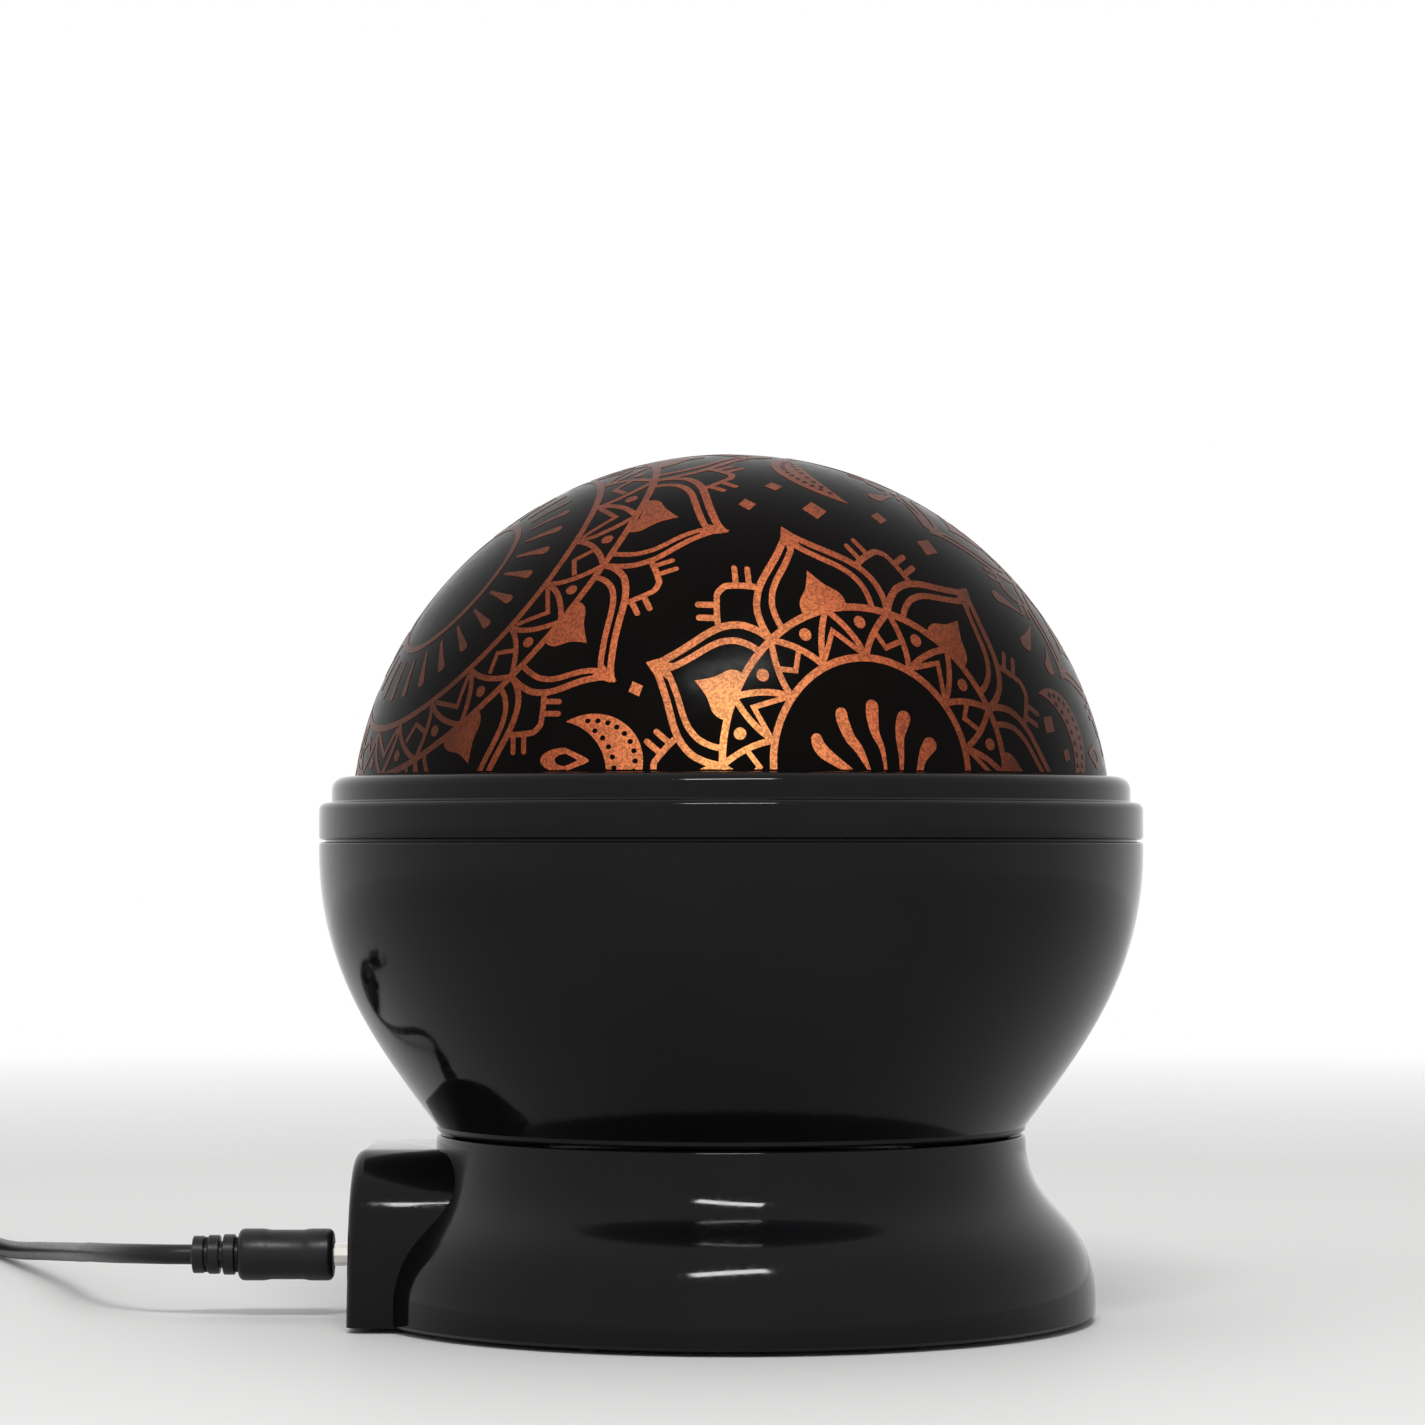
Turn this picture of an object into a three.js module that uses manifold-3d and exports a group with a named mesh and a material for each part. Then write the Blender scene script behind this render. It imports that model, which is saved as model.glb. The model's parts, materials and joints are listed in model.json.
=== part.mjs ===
// A rotating night-light projector: a bowl and a patterned dome turn on a flared base, round a fixed post
// that carries the lamps. Millimetres, +Z up, origin on the floor under the axis the bowl turns on.
import * as THREE from "three";
import { mergeVertices } from "three/addons/utils/BufferGeometryUtils.js";
import Module from "manifold-3d";

const kernel = await Module();
kernel.setup();

// Driving dimensions: the outside form.
const bowlRadius = 62; // widest, just under the collar
const seamHeight = 71.5; // floor to the top edge of the bowl
const baseRadius = 54.7; // foot of the flared skirt
const neckRadius = 44.3; // waist, where the bowl meets the base
const baseHeight = 27.8; // floor to the top face of the base
const domeInset = 4.7; // the patterned ball is this much smaller than the bowl all round
const domeRise = 1.2; // its centre above the seam
const collarHeight = 9.7; // seam to the top of the collar
const boxReach = 56.1; // axis to the outer face of the control box
const boxWidth = 48;
const boxTop = 26;
const domeRadius = bowlRadius - domeInset;
const domeCentreHeight = seamHeight + domeRise;
const collarTop = seamHeight + collarHeight;

// Walls and fits.
const wall = 2.2; // main mouldings
const domeWall = 1.8;
const seatGap = 0.25; // between pieces that sit in or on each other
const turnGap = 0.4; // between the base and what turns on it
const overrun = 1; // how far a cutting shape runs past what it cuts

// Feet and bottom.
const footHeight = 0.8; // how far the rubber feet stand out under the skirt
const coverThickness = 2;

// Facet counts round a full circle.
const largeFacets = 32;
const mediumFacets = 16;
const smallFacets = 10;
const screwFacets = 8;

const up = new THREE.Vector3(0, 0, 1);
const halfTurn = Math.PI;
const fullTurn = 2 * Math.PI;
const quarterTurn = Math.PI / 2;
const radians = THREE.MathUtils.degToRad;

// Finishes.
const finish = (color, roughness, metalness = 0) => ({ color, roughness, metalness });
const glossBlack = finish(0x0b0b0d, 0.12);
const satinBlack = finish(0x141416, 0.45);
const printedBlack = finish(0x120b08, 0.18);
const rubberBlack = finish(0x1b1b1c, 0.85);
const whitePlastic = finish(0xe9e7e1, 0.4);
const naturalNylon = finish(0xe4dcc8, 0.5);
const boardGreen = finish(0x1f5b36, 0.5);
const brightSteel = finish(0xb9bcc0, 0.3, 1);
const nickel = finish(0xc9c5bb, 0.25, 1);
const cellBlue = finish(0x27558a, 0.35, 0.3);

// A closed geometry as a solid that can be cut and joined.
function solidOf(geometry) {
  const bare = geometry.index ? geometry.toNonIndexed() : geometry.clone();
  bare.deleteAttribute("normal");
  bare.deleteAttribute("uv");
  const merged = mergeVertices(bare, 1e-4);
  const corners = [];
  const index = merged.index.array;
  for (let i = 0; i < index.length; i += 3) {
    const [a, b, c] = index.slice(i, i + 3);
    if (a !== b && b !== c && c !== a) corners.push(a, b, c);
  }
  const mesh = (triVerts) => new kernel.Mesh({
    numProp: 3,
    vertProperties: merged.attributes.position.array,
    triVerts: new Uint32Array(triVerts),
  });
  const solid = new kernel.Manifold(mesh(corners));
  return solid.volume() < 0 ? new kernel.Manifold(mesh(corners.reverse())) : solid;
}

// A solid back as a geometry with flat faces.
function geometryOf(solid) {
  const { vertProperties, triVerts, numProp, numVert } = solid.getMesh();
  const position = new Float32Array(numVert * 3);
  for (let i = 0; i < numVert; i += 1) {
    position.set(vertProperties.subarray(i * numProp, i * numProp + 3), i * 3);
  }
  const geometry = new THREE.BufferGeometry();
  geometry.setAttribute("position", new THREE.BufferAttribute(position, 3));
  geometry.setIndex(new THREE.BufferAttribute(new Uint32Array(triVerts), 1));
  geometry.computeVertexNormals();
  return geometry;
}

const join = (first, ...more) => geometryOf(more.reduce((a, b) => a.add(solidOf(b)), solidOf(first)));
const cut = (first, ...tools) => geometryOf(tools.reduce((a, b) => a.subtract(solidOf(b)), solidOf(first)));

const point = (x, y) => new THREE.Vector2(x, y);

// A profile of [radius, height] points turned about Z.
function revolve(profile, facets) {
  const turned = new THREE.LatheGeometry([...profile, profile[0]], facets);
  return geometryOf(solidOf(turned.rotateX(quarterTurn)));
}

// A round bar standing on z = 0.
function bar(radius, height, facets = smallFacets) {
  return new THREE.CylinderGeometry(radius, radius, height, facets)
    .rotateX(quarterTurn).translate(0, 0, height / 2);
}

// A ring standing on z = 0.
function ring(outer, inner, height, facets) {
  return revolve([point(inner, 0), point(outer, 0), point(outer, height), point(inner, height)], facets);
}

// A block centred on X and Y, standing on z = 0.
function block(length, width, height) {
  return new THREE.BoxGeometry(length, width, height).translate(0, 0, height / 2);
}

// A rounded rectangle centred on the origin.
function roundedRectangle(length, width, radius) {
  const shape = new THREE.Shape();
  const x = length / 2 - radius;
  const y = width / 2 - radius;
  shape.absarc(x, y, radius, 0, quarterTurn);
  shape.absarc(-x, y, radius, quarterTurn, halfTurn);
  shape.absarc(-x, -y, radius, halfTurn, halfTurn + quarterTurn);
  shape.absarc(x, -y, radius, halfTurn + quarterTurn, fullTurn);
  return shape;
}

// An outline raised from z = 0.
function raise(shape, height, curveSegments = 3) {
  return new THREE.ExtrudeGeometry(shape, { depth: height, bevelEnabled: false, curveSegments });
}

const at = (geometry, x, y, z) => geometry.clone().translate(x, y, z);
const arc = (x, y, radius, from, to, steps) => Array.from({ length: steps + 1 }, (_, i) => {
  const angle = radians(from + ((to - from) * i) / steps);
  return point(x + radius * Math.cos(angle), y + radius * Math.sin(angle));
});
const bend = (from, fromPull, toPull, to, steps) => new THREE.CubicBezierCurve(from, fromPull, toPull, to)
  .getPoints(steps);

// The same line a wall's thickness to its left.
function inset(line, distance) {
  return line.map((p, i) => {
    const before = line[Math.max(i - 1, 0)];
    const after = line[Math.min(i + 1, line.length - 1)];
    const along = after.clone().sub(before).normalize();
    return point(p.x - along.y * distance, p.y + along.x * distance);
  });
}

// Every piece is a named mesh on the body that carries it.
const projector = new THREE.Group();
const bodies = {};
for (const name of ["base", "bowl", "dome", "idler", "motorShaft", "buttons", "door", "lead"]) {
  bodies[name] = new THREE.Group();
  projector.add(bodies[name]);
}
bodies.bowl.add(bodies.dome);

function place(body, name, geometry, look, position = [0, 0, 0], rotation = [0, 0, 0]) {
  const mesh = new THREE.Mesh(geometry, new THREE.MeshStandardMaterial(look));
  mesh.name = name;
  mesh.position.set(...position);
  mesh.rotation.set(...rotation);
  bodies[body].add(mesh);
  return mesh;
}

// A pan head screw, its head's seat on z = 0 and its shank pointing up.
const screw = { headRadius: 2.2, headHeight: 1.5, shankRadius: 1.1, crown: 0.4 };
function panScrew(length) {
  return revolve([
    point(0, -screw.headHeight),
    point(screw.headRadius - screw.crown, -screw.headHeight),
    point(screw.headRadius, -screw.headHeight + screw.crown),
    point(screw.headRadius, 0),
    point(screw.shankRadius, 0),
    point(screw.shankRadius, length - screw.shankRadius),
    point(0, length),
  ], screwFacets);
}
const pilotRadius = screw.shankRadius + seatGap;
const bossRadius = pilotRadius + 1.8;

// Heights that the turning pieces share.
const deckTop = baseHeight;
const deckThickness = 2;
const deckUnder = deckTop - deckThickness;
const bowlBottom = deckTop + turnGap;
const skirtBottom = footHeight;
const coverTop = skirtBottom + coverThickness;

// Gear train: motor pinion to idler, idler to the ring gear under the bowl.
const gears = {
  ringPitchRadius: 33,
  ringTeeth: 66,
  idlerTeeth: 12,
  wheelCentreDistance: 12, // idler to motor
  wheelTeeth: 30,
  pinionTeeth: 10,
  addendumShare: 0.8, // stub teeth
  dedendumShare: 1,
  backlashShare: 0.22, // of the module, taken off each tooth
  pressureAngle: 20,
  ringRim: 4.4,
  ringWidth: 2.8,
  wheelWidth: 2,
  levelGap: 0.55, // between the two levels of gears, and under the lower one
};
const ringModule = (2 * gears.ringPitchRadius) / gears.ringTeeth;
const wheelModule = (2 * gears.wheelCentreDistance) / (gears.wheelTeeth + gears.pinionTeeth);
const idlerPitchRadius = (gears.idlerTeeth * ringModule) / 2;
const idlerRadius = gears.ringPitchRadius - idlerPitchRadius; // from the bowl's axis
const idlerBearing = radians(90); // round the axis, from +X
const motorBearing = radians(30); // round the idler
const idlerPlace = [idlerRadius * Math.cos(idlerBearing), idlerRadius * Math.sin(idlerBearing)];
const motorPlace = [
  idlerPlace[0] + gears.wheelCentreDistance * Math.cos(motorBearing),
  idlerPlace[1] + gears.wheelCentreDistance * Math.sin(motorBearing),
];
const motorTurn = Math.atan2(motorPlace[1], motorPlace[0]) - quarterTurn; // its ears lie along the skirt
const wheelBottom = deckTop + gears.levelGap;
const ringBottom = wheelBottom + gears.wheelWidth + gears.levelGap;
const floorUnder = ringBottom + gears.ringWidth + seatGap; // underside of the bowl's floor
const floorThickness = 2;
const floorTop = floorUnder + floorThickness;

// An involute gear's outline, with a tooth centred on the angle phase. Negative thinning widens the tooth,
// and an inside gear is the same outline used as a hole.
function gearOutline({ teeth, module, tip, root, thinning, phase, flankSteps }) {
  const pitch = (teeth * module) / 2;
  const base = pitch * Math.cos(radians(gears.pressureAngle));
  const roll = (radius) => {
    const t = Math.sqrt(Math.max((radius / base) ** 2 - 1, 0));
    return t - Math.atan(t);
  };
  const halfAtPitch = halfTurn / (2 * teeth) - thinning / (2 * pitch);
  const half = (radius) => halfAtPitch + roll(pitch) - roll(Math.max(radius, base));
  const foot = Math.max(root, base);
  const radii = Array.from({ length: flankSteps + 1 }, (_, i) => foot + ((tip - foot) * i) / flankSteps);
  if (foot > root) radii.unshift(root);
  const points = [];
  for (let tooth = 0; tooth < teeth; tooth += 1) {
    const middle = phase + (fullTurn * tooth) / teeth;
    radii.forEach((r) => points.push([r, middle - half(r)]));
    [...radii].reverse().forEach((r) => points.push([r, middle + half(r)]));
  }
  return points.map(([r, angle]) => point(r * Math.cos(angle), r * Math.sin(angle)));
}

function spurGear({ teeth, module, width, phase, flankSteps = 2 }) {
  const pitch = (teeth * module) / 2;
  return raise(new THREE.Shape(gearOutline({
    teeth,
    module,
    phase,
    flankSteps,
    tip: pitch + gears.addendumShare * module,
    root: pitch - gears.dedendumShare * module,
    thinning: gears.backlashShare * module,
  })), width);
}

// Control box on the left of the base: outer shell, hollow, and the window of the recessed key panel.
const box = {
  shoulder: 13, // round of its long top edges
  corner: 3, // round over its top outer edge
  lean: 0.4, // the outer face draws in this much towards its top
  edge: 1.6, // rounded side edges
  windowWidth: 32,
  windowHeight: 17,
  windowBottom: 4.8,
  windowCorner: 5,
  root: 36, // the shape runs in to here, inside the base
};
const boxInner = boxReach - wall; // inner face of its outer wall
const boxCavityWidth = boxWidth - 2 * wall;

// A bar along X from zero, standing on a bottom height, with both long top edges rounded.
function shoulderedBar(width, bottom, top, shoulder, length) {
  const side = width / 2 - shoulder;
  const outline = new THREE.Shape([
    point(-width / 2, bottom),
    point(width / 2, bottom),
    ...arc(side, top - shoulder, shoulder, 0, 90, 5),
    ...arc(-side, top - shoulder, shoulder, 90, 180, 5),
  ]);
  return raise(outline, length).rotateX(quarterTurn).rotateZ(quarterTurn);
}

function controlBoxSolid() {
  const leftSide = [
    point(-box.root, skirtBottom),
    point(-boxReach + box.lean / 2, skirtBottom),
    ...bend(
      point(-boxReach, skirtBottom + box.corner),
      point(-boxReach, boxTop / 2),
      point(-boxReach + box.lean / 2, boxTop - 2 * box.corner),
      point(-boxReach + box.lean, boxTop - box.corner),
      3,
    ),
    ...arc(-boxReach + box.lean + box.corner, boxTop - box.corner, box.corner, 150, 90, 3),
    point(-box.root, boxTop),
  ];
  const side = new THREE.ExtrudeGeometry(new THREE.Shape(leftSide), {
    depth: boxWidth - 2 * box.edge,
    bevelThickness: box.edge,
    bevelSize: box.edge,
    bevelOffset: -box.edge,
    bevelSegments: 2,
  });
  const shoulders = at(
    shoulderedBar(boxWidth, skirtBottom - overrun, boxTop, box.shoulder, boxReach - box.root + 2 * overrun),
    -boxReach - overrun, 0, 0,
  );
  const whole = side.translate(0, 0, box.edge - boxWidth / 2).rotateX(quarterTurn);
  return geometryOf(solidOf(whole).intersect(solidOf(shoulders)));
}

// Where the base is screwed together: three bosses round the skirt.
const bossInset = 10.7; // skirt's foot to the middle of a boss
const bossCircle = baseRadius - bossInset;
const coverScrewLength = 9;
const coverScrewSeat = skirtBottom + screw.headHeight - footHeight / 2;
const bossBearings = [30, 150, 270].map(radians);
const onCircle = (radius, angle) => [radius * Math.cos(angle), radius * Math.sin(angle)];

// The flared skirt's outside, from its foot up to the neck.
const skirt = { straight: 2.2, footPull: 14, neckPull: 12, topRound: 0.5 };
const skirtLine = [
  point(baseRadius, skirtBottom),
  ...bend(
    point(baseRadius, skirtBottom + skirt.straight),
    point(baseRadius, skirtBottom + skirt.straight + skirt.footPull),
    point(neckRadius, deckTop - skirt.topRound - skirt.neckPull),
    point(neckRadius, deckTop - skirt.topRound),
    8,
  ),
];

// Post that carries the lamps, and what the bowl turns on round it.
const post = {
  flangeRadius: 16,
  flangeHeight: 2.5,
  screwCircle: 13,
  shoulderRadius: 10.4,
  journalRadius: 7.5,
  tubeRadius: 6.5,
  boreRadius: 4.5,
  headRadius: 9.6,
  headHeight: 2,
  top: 62,
};
const washerThickness = 0.6;
const bushHeight = 5;
const clip = { thickness: 1, rim: 3.2, grooveDepth: 0.9, mouth: 70 };
const runGap = 0.2; // bush to washer and clip
const washerBottom = floorUnder - runGap - washerThickness;
const bushTop = floorUnder + bushHeight;
const clipBottom = bushTop + runGap;

const motor = {
  canRadius: 8,
  canHeight: 13,
  noseRadius: 3,
  shaftRadius: 1,
  earReach: 10.8,
  earWidth: 6,
  earThickness: 1.2,
  bossLength: 3,
  screwLength: 5,
};
const earTop = deckUnder - motor.bossLength;
const axle = { radius: 1.5, seatDepth: 5 };
const axleTop = floorUnder - turnGap;

const motorEarPlace = (reach) => [
  motorPlace[0] + reach * Math.cos(motorTurn), motorPlace[1] + reach * Math.sin(motorTurn),
];

function baseHousing() {
  const inside = inset(skirtLine, wall);
  const firstInside = inside.filter((p, i) => i % 2 && p.y > skirtBottom && p.y < deckUnder - skirt.topRound);
  const shell = revolve([
    ...skirtLine,
    point(neckRadius - skirt.topRound, deckTop),
    point(post.boreRadius, deckTop),
    point(post.boreRadius, deckUnder),
    point(firstInside.at(-1).x, deckUnder),
    ...firstInside.reverse(),
    point(baseRadius - wall, skirtBottom),
  ], largeFacets);
  const cavityTop = boxTop - wall;
  const cavity = at(
    shoulderedBar(boxCavityWidth, skirtBottom - overrun, cavityTop, box.shoulder - wall, boxInner - box.root + overrun),
    -boxInner, 0, 0,
  );
  const window = at(
    raise(roundedRectangle(box.windowHeight, box.windowWidth, box.windowCorner), wall + 2 * overrun)
      .rotateY(-quarterTurn),
    -boxInner + overrun, 0, box.windowBottom + box.windowHeight / 2,
  );
  const coverBosses = bossBearings.map((angle) => at(
    bar(bossRadius, deckUnder - coverTop - seatGap + overrun),
    ...onCircle(bossCircle, angle), coverTop + seatGap,
  ));
  const boss = (place2, length) => at(
    bar(bossRadius, length + overrun), ...place2, deckUnder - length,
  );
  const postScrews = [post.screwCircle, -post.screwCircle].map((x) => [x, 0]);
  const motorEars = [motor.earReach, -motor.earReach].map(motorEarPlace);
  const insideWall = revolve([
    point(0, skirtBottom),
    ...skirtLine.map((p) => point(p.x - wall / 2, p.y)),
    point(0, deckTop - overrun),
  ], largeFacets);
  const bosses = [
    ...coverBosses,
    ...postScrews.map((spot) => boss(spot, post.headHeight * 3)),
    ...motorEars.map((spot) => boss(spot, motor.bossLength)),
    boss(idlerPlace, axle.seatDepth),
  ].map((b) => geometryOf(solidOf(b).intersect(solidOf(insideWall))));
  const housing = cut(join(shell, controlBoxSolid()), cavity, window, hollowOf(firstInside));
  const pilots = [
    ...bossBearings.map((angle) => [onCircle(bossCircle, angle), coverScrewSeat, coverScrewLength]),
    ...postScrews.map((spot) => [spot, deckUnder - post.headHeight * 3 - overrun,
      post.headHeight * 3 + overrun + deckThickness + overrun]),
    ...motorEars.map((spot) => [spot, earTop - overrun, motor.screwLength + overrun]),
  ].map(([spot, bottom, length]) => at(bar(pilotRadius, length + seatGap), ...spot, bottom));
  return cut(
    join(housing, ...bosses),
    ...pilots,
    at(bar(axle.radius + seatGap, axle.seatDepth + deckThickness), ...idlerPlace, deckUnder - axle.seatDepth + seatGap),
    at(bar(motor.noseRadius + seatGap, deckThickness + 2 * overrun), ...motorPlace, deckUnder - overrun),
  );
}

// The round hollow under the deck, which also opens the control box towards it.
function hollowOf(insideLine) {
  const upwards = [...insideLine].reverse();
  return revolve([
    point(0, skirtBottom - overrun),
    point(baseRadius - wall, skirtBottom - overrun),
    ...upwards,
    point(upwards.at(-1).x, deckUnder),
    point(0, deckUnder),
  ], largeFacets);
}

// Bottom cover with its battery well, and the door that closes it.
const cell = { radius: 5.25, length: 43.6, nubRadius: 1.9, nubLength: 0.9, count: 4, pitch: 10.8 };
const contact = { thickness: 0.5, room: 3 };
const well = {
  length: cell.length + cell.nubLength + 2 * contact.room,
  width: cell.count * cell.pitch + 2 * seatGap,
  height: 2 * cell.radius + 2 * seatGap,
  wall: 1.6,
  corner: 1.5,
};
const door = { thickness: 1.8, lip: 1.4, corner: 3, notchRadius: 5, notchDepth: 0.7 };
const doorLength = well.length + 2 * door.lip;
const doorWidth = well.width + 2 * door.lip;
const foot = { radius: 4.5, thickness: 1.6, inset: 8.7, bearings: [60, 120, 240, 300] };
const footCircle = baseRadius - foot.inset;
const coverRadius = baseRadius - wall - seatGap;
const coverTongue = boxInner - seatGap;

function bottomCover() {
  const plate = bar(coverRadius, coverThickness, largeFacets);
  const tongue = at(
    block(coverTongue - footCircle, boxCavityWidth - 2 * seatGap, coverThickness),
    -(coverTongue + footCircle) / 2, 0, 0,
  );
  const wellHeight = well.height + well.wall;
  const wellOutside = at(
    raise(roundedRectangle(well.length + 2 * well.wall, well.width + 2 * well.wall, well.corner), wellHeight, 2),
    0, 0, coverThickness,
  );
  const wellInside = at(block(well.length, well.width, coverThickness + well.height + overrun), 0, 0, -overrun);
  const doorway = at(
    raise(roundedRectangle(doorLength + 2 * seatGap, doorWidth + 2 * seatGap, door.corner + seatGap),
      door.thickness + overrun, 2),
    0, 0, -overrun,
  );
  const screwHoles = bossBearings.flatMap((angle) => [
    at(bar(pilotRadius, coverThickness + 2 * overrun), ...onCircle(bossCircle, angle), -overrun),
    at(bar(screw.headRadius + seatGap, overrun + screw.headHeight - footHeight / 2),
      ...onCircle(bossCircle, angle), -overrun),
  ]);
  const footSeats = foot.bearings.map((angle) => at(
    bar(foot.radius + seatGap, overrun + foot.thickness - footHeight + seatGap, mediumFacets),
    ...onCircle(footCircle, radians(angle)), -overrun,
  ));
  return cut(join(plate, tongue, wellOutside), wellInside, doorway, ...screwHoles, ...footSeats);
}

function batteryDoor() {
  const plate = raise(roundedRectangle(doorLength, doorWidth, door.corner), door.thickness - seatGap, 2);
  const notch = at(
    bar(door.notchRadius, door.notchDepth + overrun, mediumFacets),
    -doorLength / 2 + 2 * door.notchRadius, 0, -overrun,
  );
  return cut(plate, notch);
}

// An AAA cell lying along X, its nub towards +X.
function batteryCell() {
  return revolve([
    point(0, 0),
    point(cell.radius, 0),
    point(cell.radius, cell.length),
    point(cell.nubRadius, cell.length),
    point(cell.nubRadius, cell.length + cell.nubLength),
    point(0, cell.length + cell.nubLength),
  ], smallFacets).rotateY(quarterTurn).translate(-(cell.length + cell.nubLength) / 2, 0, 0);
}

// A wire tube along a list of centres, each with the direction across it.
function tube(centres, radius, sides) {
  const rings = centres.map((centre, i) => {
    const before = centres[Math.max(i - 1, 0)];
    const after = centres[Math.min(i + 1, centres.length - 1)];
    const along = after.clone().sub(before).normalize();
    const side = along.clone().cross(up).normalize();
    const lift = side.clone().cross(along);
    return Array.from({ length: sides }, (_, k) => {
      const angle = (fullTurn * k) / sides;
      return centre.clone()
        .addScaledVector(side, radius * Math.cos(angle))
        .addScaledVector(lift, radius * Math.sin(angle));
    });
  });
  const position = rings.flat().concat([centres[0], centres.at(-1)]).flatMap((p) => p.toArray());
  const index = [];
  const first = rings.length * sides;
  for (let k = 0; k < sides; k += 1) {
    const next = (k + 1) % sides;
    for (let i = 0; i + 1 < rings.length; i += 1) {
      const [a, b, c, d] = [i * sides + k, i * sides + next, (i + 1) * sides + next, (i + 1) * sides + k];
      index.push(a, c, b, a, d, c);
    }
    index.push(first, k, next);
    index.push(first + 1, first - sides + next, first - sides + k);
  }
  const geometry = new THREE.BufferGeometry();
  geometry.setAttribute("position", new THREE.Float32BufferAttribute(position, 3));
  geometry.setIndex(index);
  return geometryOf(solidOf(geometry));
}

// A strip of contacts for one end of the well, facing +X, with a coil spring where a cell's flat end bears.
const coilSpring = { wire: 0.35, bottomRadius: 3.1, topRadius: 1.9, turns: 2, stepsPerTurn: 7, sides: 5 };
function contactStrip(springRows) {
  const strip = at(block(contact.thickness, well.width - 2 * seatGap, well.height - 4 * seatGap),
    contact.thickness / 2, 0, -well.height / 2 + 2 * seatGap);
  const reach = contact.room - contact.thickness - seatGap - coilSpring.wire;
  const steps = coilSpring.turns * coilSpring.stepsPerTurn;
  const springs = springRows.map((row) => {
    const centres = Array.from({ length: steps + 1 }, (_, i) => {
      const share = i / steps;
      const radius = coilSpring.bottomRadius + (coilSpring.topRadius - coilSpring.bottomRadius) * share;
      const angle = (fullTurn * i) / coilSpring.stepsPerTurn;
      return new THREE.Vector3(radius * Math.cos(angle), radius * Math.sin(angle), reach * share);
    });
    return tube(centres, coilSpring.wire, coilSpring.sides).rotateY(quarterTurn)
      .translate(contact.thickness, rowY(row), 0);
  });
  return join(strip, ...springs);
}
const rowY = (row) => (row - (cell.count - 1) / 2) * cell.pitch;

// Keys behind the window of the control box, and the board, switches and power socket behind them.
const key = { radius: 3.6, flangeRadius: 4.2, flangeThickness: 0.8, pitch: 10.5, crown: 0.4, travel: 0.6 };
const keyHeight = 17.4;
const socketHeight = 9.4;
const panel = { thickness: 1.6, margin: 1.6 };
const panelOuter = boxInner - seatGap;
const panelInner = panelOuter - panel.thickness;
const keyFace = boxReach - box.lean; // keys end flush with the box's own face
const tact = { side: 6, height: 3.2, stemRadius: 1.7, stemHeight: 0.6 };
const keyBack = panelInner - seatGap - key.flangeThickness - key.travel;
const boardOuter = keyBack - seatGap - tact.stemHeight - tact.height - seatGap;
const board = { thickness: 1.6, width: 34, bottom: 4, height: 16.9 };
const plug = {
  barrelRadius: 1.75,
  barrelBore: 0.85,
  barrelLength: 10.7, // in front of the moulded body
  barrelSeat: 3,
  bodyRadius: 3.9,
  bodyLength: 14.3,
  bodyRound: 0.8,
  reliefRadius: 3.05,
  reliefLength: 6.9,
  reliefRings: 3,
  reliefCore: 2.1,
  stand: 3.7, // the barrel shows this much outside the box
};
const socket = { snoutRadius: 2.7, width: 8, height: 7, length: 11, boreDepth: 10, pinRadius: 0.55 };
const socketBore = plug.barrelRadius + seatGap;

function controlPanel() {
  const plate = raise(
    roundedRectangle(box.windowHeight + 2 * panel.margin, box.windowWidth + 2 * panel.margin, box.windowCorner + panel.margin),
    panel.thickness, 3,
  );
  const middle = box.windowBottom + box.windowHeight / 2;
  const drill = (radius, y, height) => at(
    bar(radius, panel.thickness + 2 * overrun, mediumFacets), height - middle, y, -overrun,
  );
  return cut(
    plate,
    ...[-1, 0, 1].map((n) => drill(key.radius + seatGap, n * key.pitch, keyHeight)),
    drill(socket.snoutRadius + seatGap, 0, socketHeight),
  );
}

// A key, its face towards +Z and its flange behind the panel.
function keyCap() {
  const length = keyFace - keyBack - key.travel;
  return revolve([
    point(0, 0),
    point(key.flangeRadius, 0),
    point(key.flangeRadius, key.flangeThickness),
    point(key.radius, key.flangeThickness),
    point(key.radius, length - key.crown),
    point(key.radius - key.crown, length),
    point(0, length),
  ], mediumFacets);
}

function tactSwitch() {
  return join(
    block(tact.side, tact.side, tact.height),
    at(bar(tact.stemRadius, tact.stemHeight + overrun), 0, 0, tact.height - overrun),
  );
}

// Power socket with its mouth towards +Z, standing off the board.
function powerSocket() {
  const snout = panelOuter - panelInner + seatGap;
  const body = join(
    block(socket.height, socket.width, socket.length - snout),
    bar(socket.snoutRadius, socket.length, mediumFacets),
  );
  const bored = cut(body, at(bar(socketBore, socket.boreDepth + overrun), 0, 0, socket.length - socket.boreDepth));
  return join(bored, at(bar(socket.pinRadius, socket.boreDepth - seatGap), 0, 0, socket.length - socket.boreDepth - overrun / 4));
}

function controlBoard() {
  const plate = block(board.height, board.width, board.thickness);
  const gap = at(
    block(socket.height + 2 * seatGap, socket.width + 2 * seatGap, board.thickness + 2 * overrun),
    socketHeight - board.bottom - board.height / 2, 0, -overrun,
  );
  return cut(plate, gap);
}

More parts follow.
